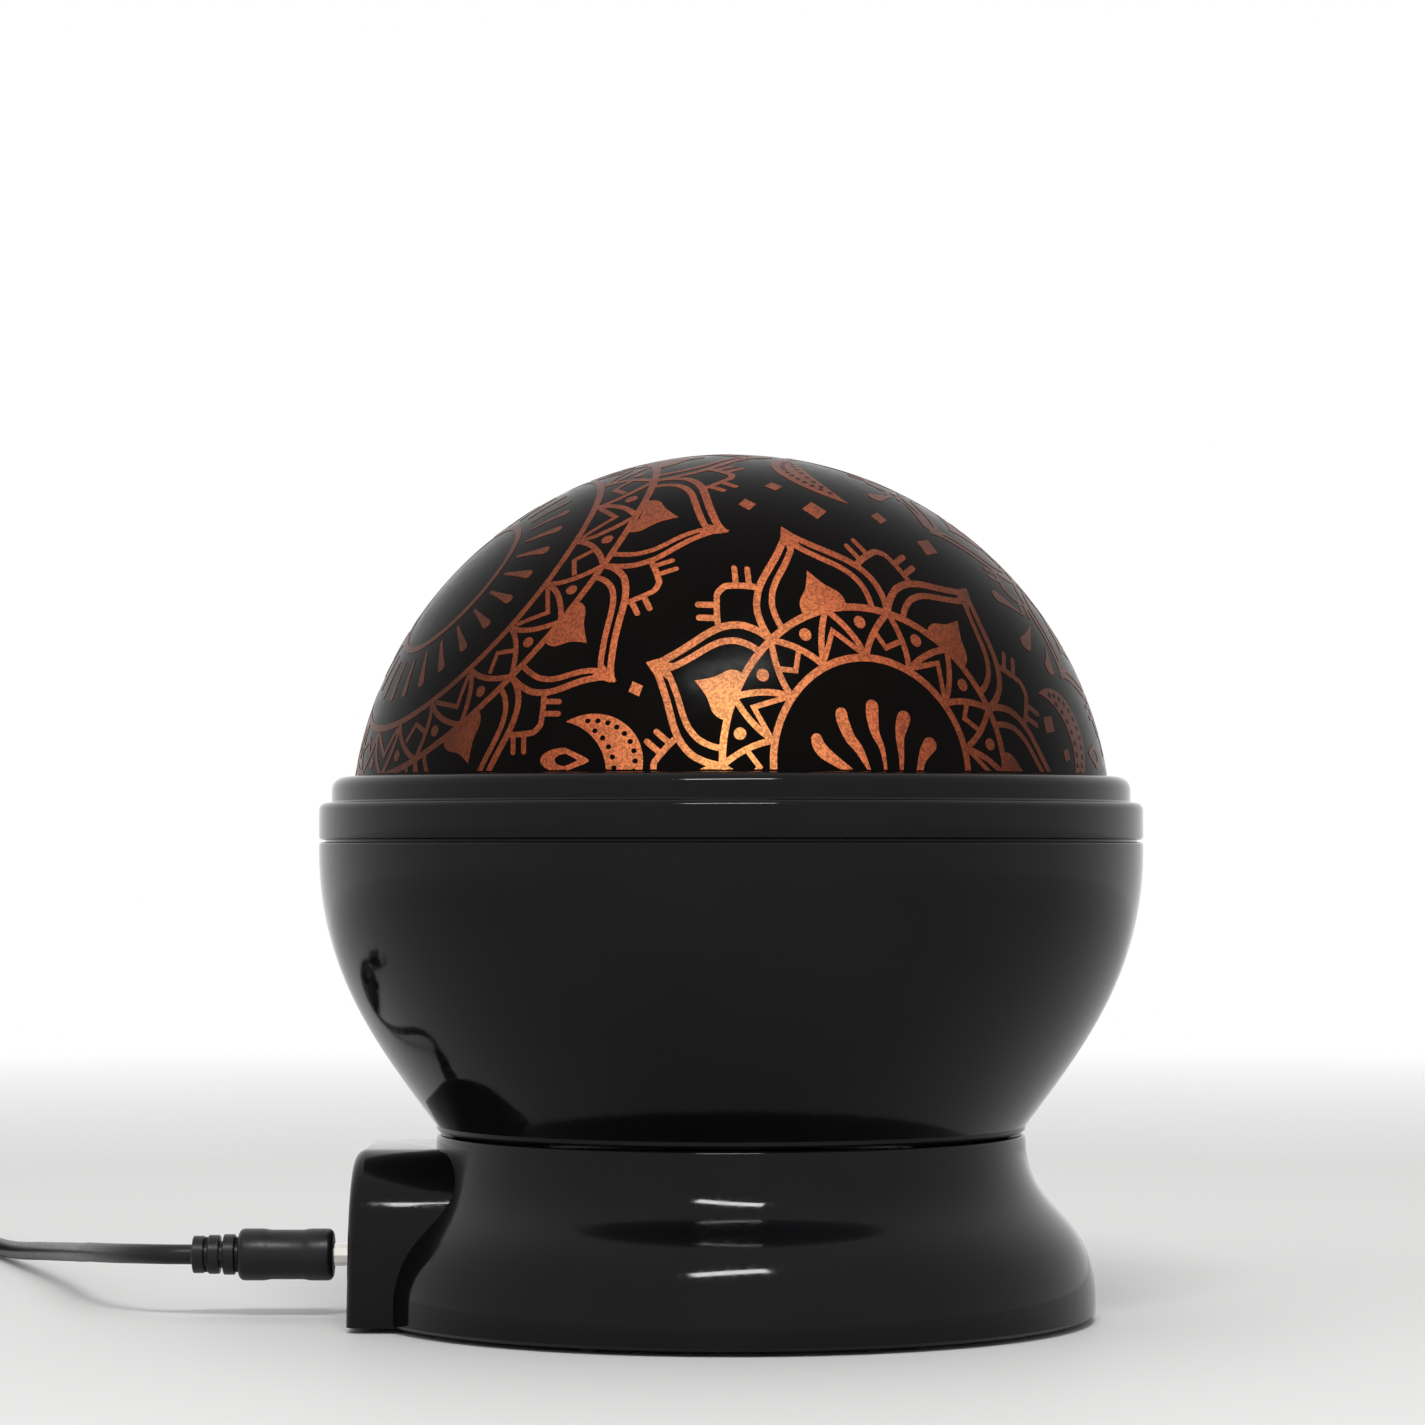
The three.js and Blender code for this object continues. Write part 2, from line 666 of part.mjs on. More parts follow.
function lampPost() {
  const groove = post.journalRadius - clip.grooveDepth;
  const grooveTop = clipBottom + clip.thickness + seatGap / 2;
  const flangeTop = deckTop + post.flangeHeight;
  const shaft = revolve([
    point(post.boreRadius, deckTop),
    point(post.flangeRadius, deckTop),
    point(post.flangeRadius, flangeTop),
    point(post.shoulderRadius, flangeTop),
    point(post.shoulderRadius, washerBottom - runGap / 2),
    point(post.journalRadius, washerBottom - runGap / 2),
    point(post.journalRadius, clipBottom - seatGap / 2),
    point(groove, clipBottom - seatGap / 2),
    point(groove, grooveTop),
    point(post.journalRadius, grooveTop),
    point(post.tubeRadius, grooveTop + clip.rim),
    point(post.tubeRadius, post.top - 2 * post.headHeight),
    point(post.headRadius, post.top - post.headHeight),
    point(post.headRadius, post.top),
    point(post.boreRadius, post.top),
  ], mediumFacets);
  const holes = [1, -1].map((side) => at(
    bar(pilotRadius, post.flangeHeight + 2 * overrun), side * post.screwCircle, 0, deckTop - overrun,
  ));
  return cut(shaft, ...holes);
}

// An open spring clip that snaps into the post's groove.
function retainingClip() {
  const inner = post.journalRadius - clip.grooveDepth + seatGap;
  const outer = inner + clip.rim;
  const half = clip.mouth / 2;
  const outline = [
    ...arc(0, 0, outer, half, 360 - half, 14),
    ...arc(0, 0, inner, 360 - half, half, 14),
  ];
  return raise(new THREE.Shape(outline), clip.thickness);
}

// Round board on the post's head, with four lamps round its middle.
const lamp = { boardRadius: 10, boardThickness: 1.6, circle: 5.4, radius: 2.4, flange: 0.5, flangeHeight: 0.9, tall: 6.2 };
const lampBoardBottom = post.top + seatGap;
const lampBottom = lampBoardBottom + lamp.boardThickness + seatGap;
function lampBulb() {
  return revolve([
    point(0, 0),
    point(lamp.radius + lamp.flange, 0),
    point(lamp.radius + lamp.flange, lamp.flangeHeight),
    point(lamp.radius, lamp.flangeHeight),
    ...arc(0, lamp.tall - lamp.radius, lamp.radius, 0, 60, 2),
    point(0, lamp.tall),
  ], smallFacets);
}

function gearMotor() {
  const can = bar(motor.canRadius, motor.canHeight, mediumFacets);
  const plate = at(
    raise(roundedRectangle(2 * motor.earReach + motor.earWidth, motor.earWidth, motor.earWidth / 2), motor.earThickness, 4),
    0, 0, motor.canHeight - motor.earThickness,
  );
  const nose = at(bar(motor.noseRadius, motor.bossLength), 0, 0, motor.canHeight - overrun / 2);
  const holes = [1, -1].map((side) => at(
    bar(pilotRadius, motor.earThickness + 2 * overrun), side * motor.earReach, 0, motor.canHeight - motor.earThickness - overrun,
  ));
  const bore = at(bar(motor.shaftRadius + seatGap, motor.bossLength + overrun), 0, 0, motor.canHeight - overrun);
  return cut(join(can, plate, nose), ...holes, bore);
}
const motorBottom = earTop - seatGap - motor.canHeight;
const shaftBottom = motorBottom + motor.canHeight - overrun + seatGap;
const shaftTop = wheelBottom + gears.wheelWidth;

// The pinion has a tooth gap facing the idler, so that the two are in mesh at rest.
function motorPinion() {
  const gap = motorBearing + halfTurn + halfTurn / gears.pinionTeeth;
  const teeth = at(
    spurGear({ teeth: gears.pinionTeeth, module: wheelModule, width: gears.wheelWidth, phase: gap }),
    0, 0, wheelBottom - shaftBottom,
  );
  return join(bar(motor.shaftRadius, shaftTop - shaftBottom), teeth);
}

// Large wheel below, small wheel above, in one piece on a fixed axle.
function idlerGear() {
  const lower = spurGear({
    teeth: gears.wheelTeeth, module: wheelModule, width: gears.wheelWidth, phase: motorBearing, flankSteps: 1,
  });
  const upperBottom = gears.wheelWidth + gears.levelGap;
  const upper = at(spurGear({
    teeth: gears.idlerTeeth, module: ringModule, width: gears.ringWidth - turnGap, phase: idlerBearing,
    flankSteps: 2,
  }), 0, 0, upperBottom);
  const neck = at(bar((2 * idlerPitchRadius) / 3, gears.levelGap + 2 * seatGap, mediumFacets), 0, 0, gears.wheelWidth - seatGap);
  const bore = at(bar(axle.radius + seatGap, axleTop), 0, 0, -overrun);
  return cut(join(lower, upper, neck), bore);
}

const ringOuter = gears.ringPitchRadius + gears.dedendumShare * ringModule + gears.ringRim;
const gearScrewCircle = ringOuter - gears.ringRim / 2;
const gearScrewBearings = [0, 120, 240].map(radians);

// Inside gear with a tooth gap facing the idler.
function ringGear() {
  const rim = new THREE.Shape(arc(0, 0, ringOuter, 0, 360 - 360 / largeFacets, largeFacets - 1));
  rim.holes.push(new THREE.Path(gearOutline({
    teeth: gears.ringTeeth,
    module: ringModule,
    tip: gears.ringPitchRadius + gears.dedendumShare * ringModule,
    root: gears.ringPitchRadius - gears.addendumShare * ringModule,
    thinning: -gears.backlashShare * ringModule,
    phase: idlerBearing,
    flankSteps: 1,
  })));
  const pilots = gearScrewBearings.map((angle) => at(
    bar(pilotRadius, gears.ringWidth + 2 * overrun), ...onCircle(gearScrewCircle, angle), -overrun,
  ));
  return cut(raise(rim, gears.ringWidth), ...pilots);
}

// Bowl: an open shell with a flat floor and a hub for its bush.
const bowlShape = { lip: 0.9, footPull: 16, rimPull: 18, steepness: 53, groove: 0.5, ledge: 1.8, ledgeHeight: 2.4 };
const hub = { wall: 2.2 };
const bush = { wall: 3.2 };
const bushOuter = post.journalRadius + runGap + bush.wall;
const hubBore = bushOuter + seatGap;
const bowlLine = [
  point(neckRadius, bowlBottom),
  ...bend(
    point(neckRadius, bowlBottom + bowlShape.lip),
    point(
      neckRadius + bowlShape.footPull * Math.cos(radians(bowlShape.steepness)),
      bowlBottom + bowlShape.lip + bowlShape.footPull * Math.sin(radians(bowlShape.steepness)),
    ),
    point(bowlRadius, seamHeight - bowlShape.lip - bowlShape.rimPull),
    point(bowlRadius, seamHeight - bowlShape.lip),
    9,
  ),
];
const trayRim = { thickness: 2, width: 3 };
const ledgeTop = seamHeight - trayRim.thickness - seatGap;
const rimInner = bowlRadius - wall;

function bowlShell() {
  const inside = inset(bowlLine, wall)
    .filter((p, i) => i % 2 && p.y > floorTop && p.y < ledgeTop - 2 * bowlShape.ledgeHeight)
    .reverse();
  const body = revolve([
    ...bowlLine,
    point(bowlRadius - bowlShape.groove, seamHeight),
    point(rimInner, seamHeight),
    point(rimInner, ledgeTop),
    point(rimInner - bowlShape.ledge, ledgeTop),
    point(rimInner - bowlShape.ledge, ledgeTop - bowlShape.ledgeHeight / 2),
    point(rimInner, ledgeTop - bowlShape.ledgeHeight),
    ...inside,
    point(inside.at(-1).x - wall, floorTop),
    point(hubBore + hub.wall, floorTop),
    point(hubBore + hub.wall, bushTop),
    point(hubBore, bushTop),
    point(hubBore, floorUnder),
    point(neckRadius - wall, floorUnder),
    point(neckRadius - wall, bowlBottom),
  ], largeFacets);
  const holes = gearScrewBearings.map((angle) => at(
    bar(pilotRadius, floorThickness + 2 * overrun), ...onCircle(gearScrewCircle, angle), floorUnder - overrun,
  ));
  return cut(body, ...holes);
}

// White dish that closes the bowl round the lamps.
const tray = { thickness: 1.6, holeRadius: lamp.boardRadius + 1.6, lipHeight: 1.2, drop: 7.5 };
function lampTray() {
  const outer = rimInner - seatGap;
  const rimBottom = ledgeTop + seatGap / 2;
  const rimTop = rimBottom + trayRim.thickness - seatGap;
  const dishOuter = outer - trayRim.width;
  const dishBottom = rimTop - tray.drop;
  const dishInner = tray.holeRadius + tray.thickness;
  const dip = (height) => bend(
    point(dishOuter, rimTop - height),
    point(dishOuter - tray.drop, rimTop - height - tray.drop / 2),
    point(dishInner + 2 * tray.drop, dishBottom - height),
    point(dishInner, dishBottom - height),
    3,
  );
  return revolve([
    point(outer, rimBottom),
    point(outer, rimTop),
    ...dip(0),
    point(dishInner, dishBottom + tray.lipHeight),
    point(tray.holeRadius, dishBottom + tray.lipHeight),
    point(tray.holeRadius, dishBottom - tray.thickness),
    ...dip(tray.thickness).reverse(),
    point(dishOuter, rimBottom),
  ].filter((p, i, all) => i === 0 || p.distanceTo(all[i - 1]) > seatGap / 10), largeFacets);
}

// Collar: a wide band at the seam, a step in, and a rounded top edge round the dome.
const collar = { bandHeight: 5.6, step: 1.9, stepRound: 0.8, topRound: 1.7, seatDepth: 5.1, seatWidth: 2.8, seatThickness: 1.5 };
const domeAt = (height) => Math.sqrt(domeRadius ** 2 - (height - domeCentreHeight) ** 2);
const domeSeat = collarTop - collar.seatDepth;
const collarBore = domeAt(domeSeat) + seatGap + 0.1;
function collarRing() {
  const bottom = seamHeight + seatGap;
  const bandTop = bottom + collar.bandHeight;
  const upper = bowlRadius - collar.step;
  const inner = collarBore - collar.seatWidth;
  return revolve([
    point(bowlRadius - bowlShape.groove, bottom),
    point(bowlRadius, bottom + bowlShape.groove),
    ...arc(bowlRadius - collar.stepRound, bandTop - collar.stepRound, collar.stepRound, 0, 90, 2),
    point(upper, bandTop),
    ...arc(upper - collar.topRound, collarTop - collar.topRound, collar.topRound, 0, 90, 3),
    point(collarBore, collarTop - seatGap),
    point(collarBore, domeSeat - seatGap),
    point(inner, domeSeat - seatGap),
    point(inner, domeSeat - seatGap - collar.seatThickness),
    point(inner, bottom),
  ], largeFacets);
}

// Dome: a thin ball cap standing in the collar.
function projectionDome() {
  const start = THREE.MathUtils.radToDeg(Math.asin((domeSeat - domeCentreHeight) / domeRadius));
  const innerRadius = domeRadius - domeWall;
  const innerStart = THREE.MathUtils.radToDeg(Math.asin((domeSeat - domeCentreHeight) / innerRadius));
  const outside = arc(0, domeCentreHeight, domeRadius, start, 90, 10);
  const inside = arc(0, domeCentreHeight, innerRadius, 90, innerStart, 6);
  outside.at(-1).x = 0;
  inside[0].x = 0;
  return new THREE.LatheGeometry([...outside, ...inside, outside[0]], largeFacets).rotateX(quarterTurn);
}

// Power lead. The free stretch's points were chosen by hand, from the plug out to the coil.
const cordRadius = 1.5;
const cordRoute = [
  [-81.3, 0, 9.4], [-84.5, 0.1, 9.4], [-87.5, 1.2, 9.35], [-90.5, 3.6, 9.2], [-93.5, 7.4, 8.9], [-96.5, 12.8, 8.5],
  [-99.3, 19.5, 8], [-101.8, 27, 7.3], [-104.2, 35.5, 6.6], [-107, 45, 5.8], [-110.4, 55.5, 4.9], [-114.2, 66.5, 4],
  [-118.4, 78, 3], [-122.6, 89.5, 2.2], [-126.8, 100.8, 1.75], [-131, 111.8, 1.95], [-132.4, 115.5, 2.1],
];
const coil = {
  meanRadius: 17.7,
  turnGap: 0.5,
  lift: 0.6, // the tie lies under it
  turns: 9.44,
  stepsPerTurn: 20,
  sides: 6,
  leadIn: 3,
  leadOut: 16,
};
const cordPitch = 2 * cordRadius + coil.turnGap;

function freeCord() {
  const path = new THREE.CatmullRomCurve3(cordRoute.map((p) => new THREE.Vector3(...p)));
  const section = new THREE.Shape(arc(0, 0, cordRadius, 0, 315, 7));
  const steps = Math.round(path.getLength() / (4 * cordRadius));
  return geometryOf(solidOf(new THREE.ExtrudeGeometry(section, { extrudePath: path, steps, bevelEnabled: false })));
}

// The coil starts where the route ends, bending to its left.
const routeEnd = new THREE.Vector3(...cordRoute.at(-1));
const routeHeading = routeEnd.clone().sub(new THREE.Vector3(...cordRoute.at(-2))).setZ(0).normalize();
const coilWidth = (coil.turns / 2) * cordPitch;
const coilInner = coil.meanRadius - coilWidth / 2;
const coilStart = routeEnd.clone().addScaledVector(routeHeading, seatGap + coil.leadIn);
const coilCentre = coilStart.clone()
  .addScaledVector(up.clone().cross(routeHeading), coilInner + coilWidth);
const coilBearing = Math.atan2(coilStart.y - coilCentre.y, coilStart.x - coilCentre.x);
const coilLow = cordRadius + coil.lift;

// One tube: in along the floor, up a layer over half a turn, out again on top, then straight to the plug.
function coilCentres() {
  const steps = Math.round(coil.turns * coil.stepsPerTurn);
  const wound = Array.from({ length: steps + 1 }, (_, i) => {
    const turnsToMiddle = (i / steps - 0.5) * coil.turns;
    const radius = coilInner + Math.abs(turnsToMiddle) * cordPitch;
    const angle = coilBearing + (fullTurn * coil.turns * i) / steps;
    const climb = THREE.MathUtils.smoothstep(turnsToMiddle, -0.25, 0.25);
    return new THREE.Vector3(
      coilCentre.x + radius * Math.cos(angle), coilCentre.y + radius * Math.sin(angle), coilLow + climb * cordPitch,
    );
  });
  const leadIn = wound[0].clone().addScaledVector(routeHeading, -coil.leadIn);
  const ahead = wound.at(-1).clone().sub(wound.at(-2)).setZ(0).normalize();
  const leadOut = [0.35, 0.6, 0.8, 1].map((share) => wound.at(-1).clone()
    .addScaledVector(ahead, coil.leadOut * share)
    .setZ(THREE.MathUtils.lerp(coilLow + cordPitch, usbHeight, THREE.MathUtils.smoothstep(share, 0.1, 0.8))));
  return [leadIn, ...wound, ...leadOut];
}

// The least gap between two turns, measured between points at least half a turn apart.
function leastGap(centres, radius, apart) {
  let least = Infinity;
  centres.forEach((p, i) => {
    for (let j = i + apart; j < centres.length; j += 1) least = Math.min(least, p.distanceTo(centres[j]));
  });
  return least - 2 * radius;
}

function plugBody() {
  const { bodyRadius, bodyLength, bodyRound, reliefRadius, reliefLength, reliefRings, reliefCore } = plug;
  const pitch = reliefLength / reliefRings;
  const rings = Array.from({ length: reliefRings }, (_, n) => [
    point(reliefCore, bodyLength + n * pitch + pitch * 0.3),
    point(reliefRadius, bodyLength + n * pitch + pitch * 0.35),
    point(reliefRadius, bodyLength + (n + 1) * pitch - pitch * 0.05),
    point(reliefCore, bodyLength + (n + 1) * pitch),
  ]).flat();
  return revolve([
    point(plug.barrelRadius + seatGap, 0),
    point(bodyRadius - bodyRound, 0),
    point(bodyRadius, bodyRound),
    point(bodyRadius, bodyLength - 2 * bodyRound),
    point(bodyRadius - bodyRound, bodyLength),
    point(reliefCore, bodyLength),
    ...rings,
    point(0, bodyLength + reliefLength),
    point(0, plug.barrelSeat),
    point(plug.barrelRadius + seatGap, plug.barrelSeat),
  ], mediumFacets);
}

const usb = {
  bodyLength: 25, bodyWidth: 15.4, bodyHeight: 8, bodyCorner: 2.4, shellLength: 12, shellWidth: 12, shellHeight: 4.5,
  shellWall: 0.5, tongueHeight: 1.8, seat: 3,
};
const usbHeight = usb.bodyHeight / 2;

// Moulded grip of the lead's far plug, lying along +Y from its cord end, with a pocket for the metal shell.
function usbGrip() {
  const body = raise(roundedRectangle(usb.bodyWidth, usb.bodyHeight, usb.bodyCorner), usb.bodyLength, 3);
  const pocket = at(
    block(usb.shellWidth + 2 * seatGap, usb.shellHeight + 2 * seatGap, usb.seat + overrun), 0, 0, usb.bodyLength - usb.seat,
  );
  return cut(body, pocket).rotateX(quarterTurn);
}

function usbShell() {
  const long = usb.shellLength + usb.seat - seatGap;
  const outer = block(usb.shellWidth, usb.shellHeight, long);
  const inner = at(block(usb.shellWidth - 2 * usb.shellWall, usb.shellHeight - 2 * usb.shellWall, long),
    0, 0, usb.seat);
  const tongue = at(
    block(usb.shellWidth - 2 * usb.shellWall + overrun / 4, usb.tongueHeight, long - overrun),
    0, (usb.shellHeight - usb.tongueHeight) / 2 - usb.shellWall / 2, 0,
  );
  return join(cut(outer, inner), tongue).rotateX(quarterTurn);
}

// A flat strap round the coil's bundle, at its front.
const tie = { thickness: 0.4, width: 6, clear: 0.7, bearing: 270 };
function cordTie() {
  const bundle = coilWidth + 2 * cordRadius + 2 * tie.clear;
  const tall = cordPitch + 2 * cordRadius + coil.lift - tie.thickness;
  const outline = roundedRectangle(bundle + 2 * tie.thickness, tall + 2 * tie.thickness, tie.clear + tie.thickness);
  outline.holes.push(roundedRectangle(bundle, tall, tie.clear));
  return raise(outline, tie.width, 2).translate(0, 0, -tie.width / 2).rotateX(quarterTurn).rotateZ(quarterTurn);
}

// The base and what stays still on it.
place("base", "base_housing", baseHousing(), glossBlack);
place("base", "bottom_cover", bottomCover(), satinBlack, [0, 0, skirtBottom]);
foot.bearings.forEach((angle, n) => place("base", `foot_${n + 1}`, bar(foot.radius, foot.thickness, mediumFacets),
  rubberBlack, [...onCircle(footCircle, radians(angle)), 0]));
bossBearings.forEach((angle, n) => place("base", `cover_screw_${n + 1}`, panScrew(coverScrewLength),
  brightSteel, [...onCircle(bossCircle, angle), coverScrewSeat - seatGap]));
const cellMiddle = skirtBottom + coverThickness + well.height / 2;
for (let row = 0; row < cell.count; row += 1) {
  const flip = row % 2 ? halfTurn : 0;
  place("base", `battery_cell_${row + 1}`, batteryCell(), cellBlue, [0, rowY(row), cellMiddle], [0, 0, flip]);
}
const stripPlace = well.length / 2 - seatGap;
place("base", "contact_strip_left", contactStrip([0, 2]), nickel, [-stripPlace, 0, cellMiddle]);
place("base", "contact_strip_right", contactStrip([0, 2]), nickel, [stripPlace, 0, cellMiddle], [0, 0, halfTurn]);

const panelMiddle = box.windowBottom + box.windowHeight / 2;
place("base", "control_panel", controlPanel(), satinBlack, [-panelInner, 0, panelMiddle], [0, -quarterTurn, 0]);
place("base", "control_board", controlBoard(), boardGreen,
  [-boardOuter + board.thickness, 0, board.bottom + board.height / 2], [0, -quarterTurn, 0]);
const keyNames = ["light", "colour", "turn"];
keyNames.forEach((name, n) => {
  const y = (n - 1) * key.pitch;
  place("base", `switch_${name}`, tactSwitch(), satinBlack, [-boardOuter - seatGap, y, keyHeight], [0, -quarterTurn, 0]);
  place("buttons", `button_${name}`, keyCap(), satinBlack, [-keyBack - key.travel, y, keyHeight], [0, -quarterTurn, 0]);
});
place("base", "power_socket", powerSocket(), satinBlack, [-panelOuter + socket.length, 0, socketHeight], [0, -quarterTurn, 0]);

place("base", "lamp_post", lampPost(), whitePlastic);
[1, -1].forEach((side, n) => place("base", `post_screw_${n + 1}`, panScrew(post.headHeight * 3), brightSteel,
  [side * post.screwCircle, 0, deckTop + post.flangeHeight + seatGap / 2], [halfTurn, 0, 0]));
place("base", "thrust_washer", ring(post.shoulderRadius, post.journalRadius + runGap, washerThickness, mediumFacets),
  naturalNylon, [0, 0, washerBottom]);
place("base", "retaining_clip", retainingClip(), brightSteel, [0, 0, clipBottom]);
place("base", "idler_axle", bar(axle.radius, axleTop - deckUnder + axle.seatDepth - 2 * seatGap), brightSteel,
  [...idlerPlace, deckUnder - axle.seatDepth + 2 * seatGap]);
place("base", "gear_motor", gearMotor(), brightSteel, [...motorPlace, motorBottom], [0, 0, motorTurn]);
[1, -1].forEach((side, n) => place("base", `motor_screw_${n + 1}`, panScrew(motor.screwLength), brightSteel,
  [...motorEarPlace(side * motor.earReach), motorBottom + motor.canHeight - motor.earThickness - seatGap]));
place("base", "lamp_board", bar(lamp.boardRadius, lamp.boardThickness, mediumFacets), boardGreen, [0, 0, lampBoardBottom]);
const lampLooks = {
  warm: finish(0xffd9a0, 0.2), red: finish(0xd2362b, 0.2), green: finish(0x3fae4a, 0.2), blue: finish(0x2f5fd0, 0.2),
};
Object.entries(lampLooks).forEach(([name, look], n) => place("base", `lamp_${name}`, lampBulb(), look,
  [...onCircle(lamp.circle, n * quarterTurn), lampBottom]));

// The pieces that turn.
place("bowl", "bowl", bowlShell(), glossBlack);
place("bowl", "ring_gear", ringGear(), naturalNylon, [0, 0, ringBottom]);
gearScrewBearings.forEach((angle, n) => place("bowl", `gear_screw_${n + 1}`, panScrew(floorThickness + gears.ringWidth - seatGap),
  brightSteel, [...onCircle(gearScrewCircle, angle), floorTop + seatGap / 2], [halfTurn, 0, 0]));
place("bowl", "bearing_bush", ring(bushOuter, post.journalRadius + runGap, bushHeight, mediumFacets), naturalNylon,
  [0, 0, floorUnder]);
place("bowl", "lamp_tray", lampTray(), whitePlastic);
place("bowl", "collar_ring", collarRing(), glossBlack);
place("dome", "projection_dome", projectionDome(), printedBlack);
place("idler", "idler_gear", idlerGear(), naturalNylon, [...idlerPlace, wheelBottom]);
place("motorShaft", "motor_pinion", motorPinion(), naturalNylon, [...motorPlace, shaftBottom]);
place("door", "battery_door", batteryDoor(), satinBlack, [0, 0, skirtBottom]);

// The lead, its plug in the socket.
const plugFront = boxReach + plug.stand;
place("lead", "plug_barrel", ring(plug.barrelRadius, plug.barrelBore, plug.barrelLength + plug.barrelSeat - seatGap, smallFacets),
  nickel, [-plugFront + plug.barrelLength, 0, socketHeight], [0, -quarterTurn, 0]);
place("lead", "plug_body", plugBody(), rubberBlack, [-plugFront, 0, socketHeight], [0, -quarterTurn, 0]);
place("lead", "power_cord", freeCord(), rubberBlack);
const centres = coilCentres();
console.log(`least gap in the coil: ${leastGap(centres, cordRadius, coil.stepsPerTurn / 2).toFixed(2)} mm`);
place("lead", "power_cord_coil", tube(centres, cordRadius, coil.sides), rubberBlack);
place("lead", "cord_tie", cordTie(), satinBlack, [
  coilCentre.x + coil.meanRadius * Math.cos(radians(tie.bearing)),
  coilCentre.y + coil.meanRadius * Math.sin(radians(tie.bearing)),
  (cordPitch + 2 * cordRadius + coil.lift + tie.thickness) / 2,
]);
const coilEnd = centres.at(-1);
place("lead", "usb_grip", usbGrip(), rubberBlack, [coilEnd.x, coilEnd.y - seatGap, usbHeight]);
place("lead", "usb_shell", usbShell(), nickel, [coilEnd.x, coilEnd.y - seatGap - usb.bodyLength + usb.seat - seatGap, usbHeight]);

export default projector;
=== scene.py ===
import json
import math

import bmesh
import bpy
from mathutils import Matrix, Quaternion, Vector

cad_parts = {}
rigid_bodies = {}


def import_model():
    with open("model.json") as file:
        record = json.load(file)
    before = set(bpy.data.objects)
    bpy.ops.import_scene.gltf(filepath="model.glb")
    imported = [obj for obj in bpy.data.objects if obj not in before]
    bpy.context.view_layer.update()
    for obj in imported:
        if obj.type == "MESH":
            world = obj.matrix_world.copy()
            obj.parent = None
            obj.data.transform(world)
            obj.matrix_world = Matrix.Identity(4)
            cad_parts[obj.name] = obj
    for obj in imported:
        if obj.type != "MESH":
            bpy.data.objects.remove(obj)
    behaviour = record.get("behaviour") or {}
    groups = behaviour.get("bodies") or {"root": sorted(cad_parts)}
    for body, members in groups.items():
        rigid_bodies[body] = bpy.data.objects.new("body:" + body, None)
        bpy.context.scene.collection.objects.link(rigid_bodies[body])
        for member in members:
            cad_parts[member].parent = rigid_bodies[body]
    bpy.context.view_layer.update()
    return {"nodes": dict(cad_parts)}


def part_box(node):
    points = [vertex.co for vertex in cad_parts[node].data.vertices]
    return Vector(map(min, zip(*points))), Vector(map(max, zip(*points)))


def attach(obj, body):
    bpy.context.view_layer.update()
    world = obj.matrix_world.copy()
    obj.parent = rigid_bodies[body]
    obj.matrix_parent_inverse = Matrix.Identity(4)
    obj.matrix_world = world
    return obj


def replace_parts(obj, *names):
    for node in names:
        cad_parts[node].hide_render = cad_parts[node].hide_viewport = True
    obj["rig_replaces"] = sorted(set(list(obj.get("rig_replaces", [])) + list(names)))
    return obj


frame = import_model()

nodes = frame["nodes"]
mm = 0.001
up = Vector((0, 0, 1))
# How far a cutter runs past its work, what counts as near and as the same, and the gap that welds points.
overrun, near, same, weldGap = 1, 0.1, 0.01, 1e-7


def boxOf(name):
    return [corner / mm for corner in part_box(name)]


# Values of a plan by their names, for short names in sums.
def pick(plan, names):
    return [plan[name] for name in names.split()]


def middleOf(name):
    low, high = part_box(name)
    return (low + high) / 2 / mm


# The view.
cameraPlan = {"distance": 0.680, "height": 0.0703, "lens": 113.7, "pitch": 1.75, "yaw": 0.2355}


def setCamera(plan):
    bpy.ops.object.camera_add(location=(0, -plan["distance"], plan["height"]))
    camera = bpy.context.object
    camera.rotation_euler = (math.radians(90 + plan["pitch"]), 0, math.radians(plan["yaw"]))
    camera.data.lens = plan["lens"]
    camera.data.sensor_width = 36
    camera.data.clip_start = 0.01
    bpy.context.scene.camera = camera


bpy.ops.object.select_all(action="DESELECT")
setCamera(cameraPlan)
print("camera set")


# Materials.
socketNames = {
    "roughness": "Roughness", "metallic": "Metallic", "specular": "Specular IOR Level",
    "coat": "Coat Weight", "glow": "Emission Strength", "glowColour": "Emission Color",
    "clear": "Transmission Weight", "subsurface": "Subsurface Weight",
}


def newMaterial(name, **values):
    material = bpy.data.materials.new(name)
    material.use_nodes = True
    shader = material.node_tree.nodes["Principled BSDF"]
    for socket, value in values.items():
        shader.inputs[socketNames[socket]].default_value = value
    return material, material.node_tree, shader


def addNode(tree, kind, **values):
    node = tree.nodes.new(kind)
    for socket, value in values.items():
        if hasattr(node, socket):
            setattr(node, socket, value)
        else:
            node.inputs[socket.replace("_", " ")].default_value = value
    return node


def link(source, output, target, socket):
    source.id_data.links.new(source.outputs[output], target.inputs[socket])


def noiseOn(tree, scale, detail=4.0, kind="ShaderNodeTexNoise"):
    place = addNode(tree, "ShaderNodeTexCoord")
    pattern = addNode(tree, kind, Scale=scale)
    if "Detail" in pattern.inputs:
        pattern.inputs["Detail"].default_value = detail
    link(place, "Object", pattern, "Vector")
    return pattern


def ramp(tree, source, stops):
    node = addNode(tree, "ShaderNodeValToRGB")
    elements = node.color_ramp.elements
    elements[0].position, elements[1].position = stops[0][0], stops[-1][0]
    for place, _ in stops[1:-1]:
        elements.new(place)
    for element, (_, colour) in zip(elements, stops):
        element.color = (*colour, 1) if len(colour) == 3 else (colour[0],) * 3 + (1,)
    tree.links.new(source, node.inputs["Fac"])
    return node


def bumpFrom(tree, shader, source, strength, distance):
    bump = addNode(tree, "ShaderNodeBump", Strength=strength, Distance=distance)
    tree.links.new(source, bump.inputs["Height"])
    link(bump, "Normal", shader, "Normal")


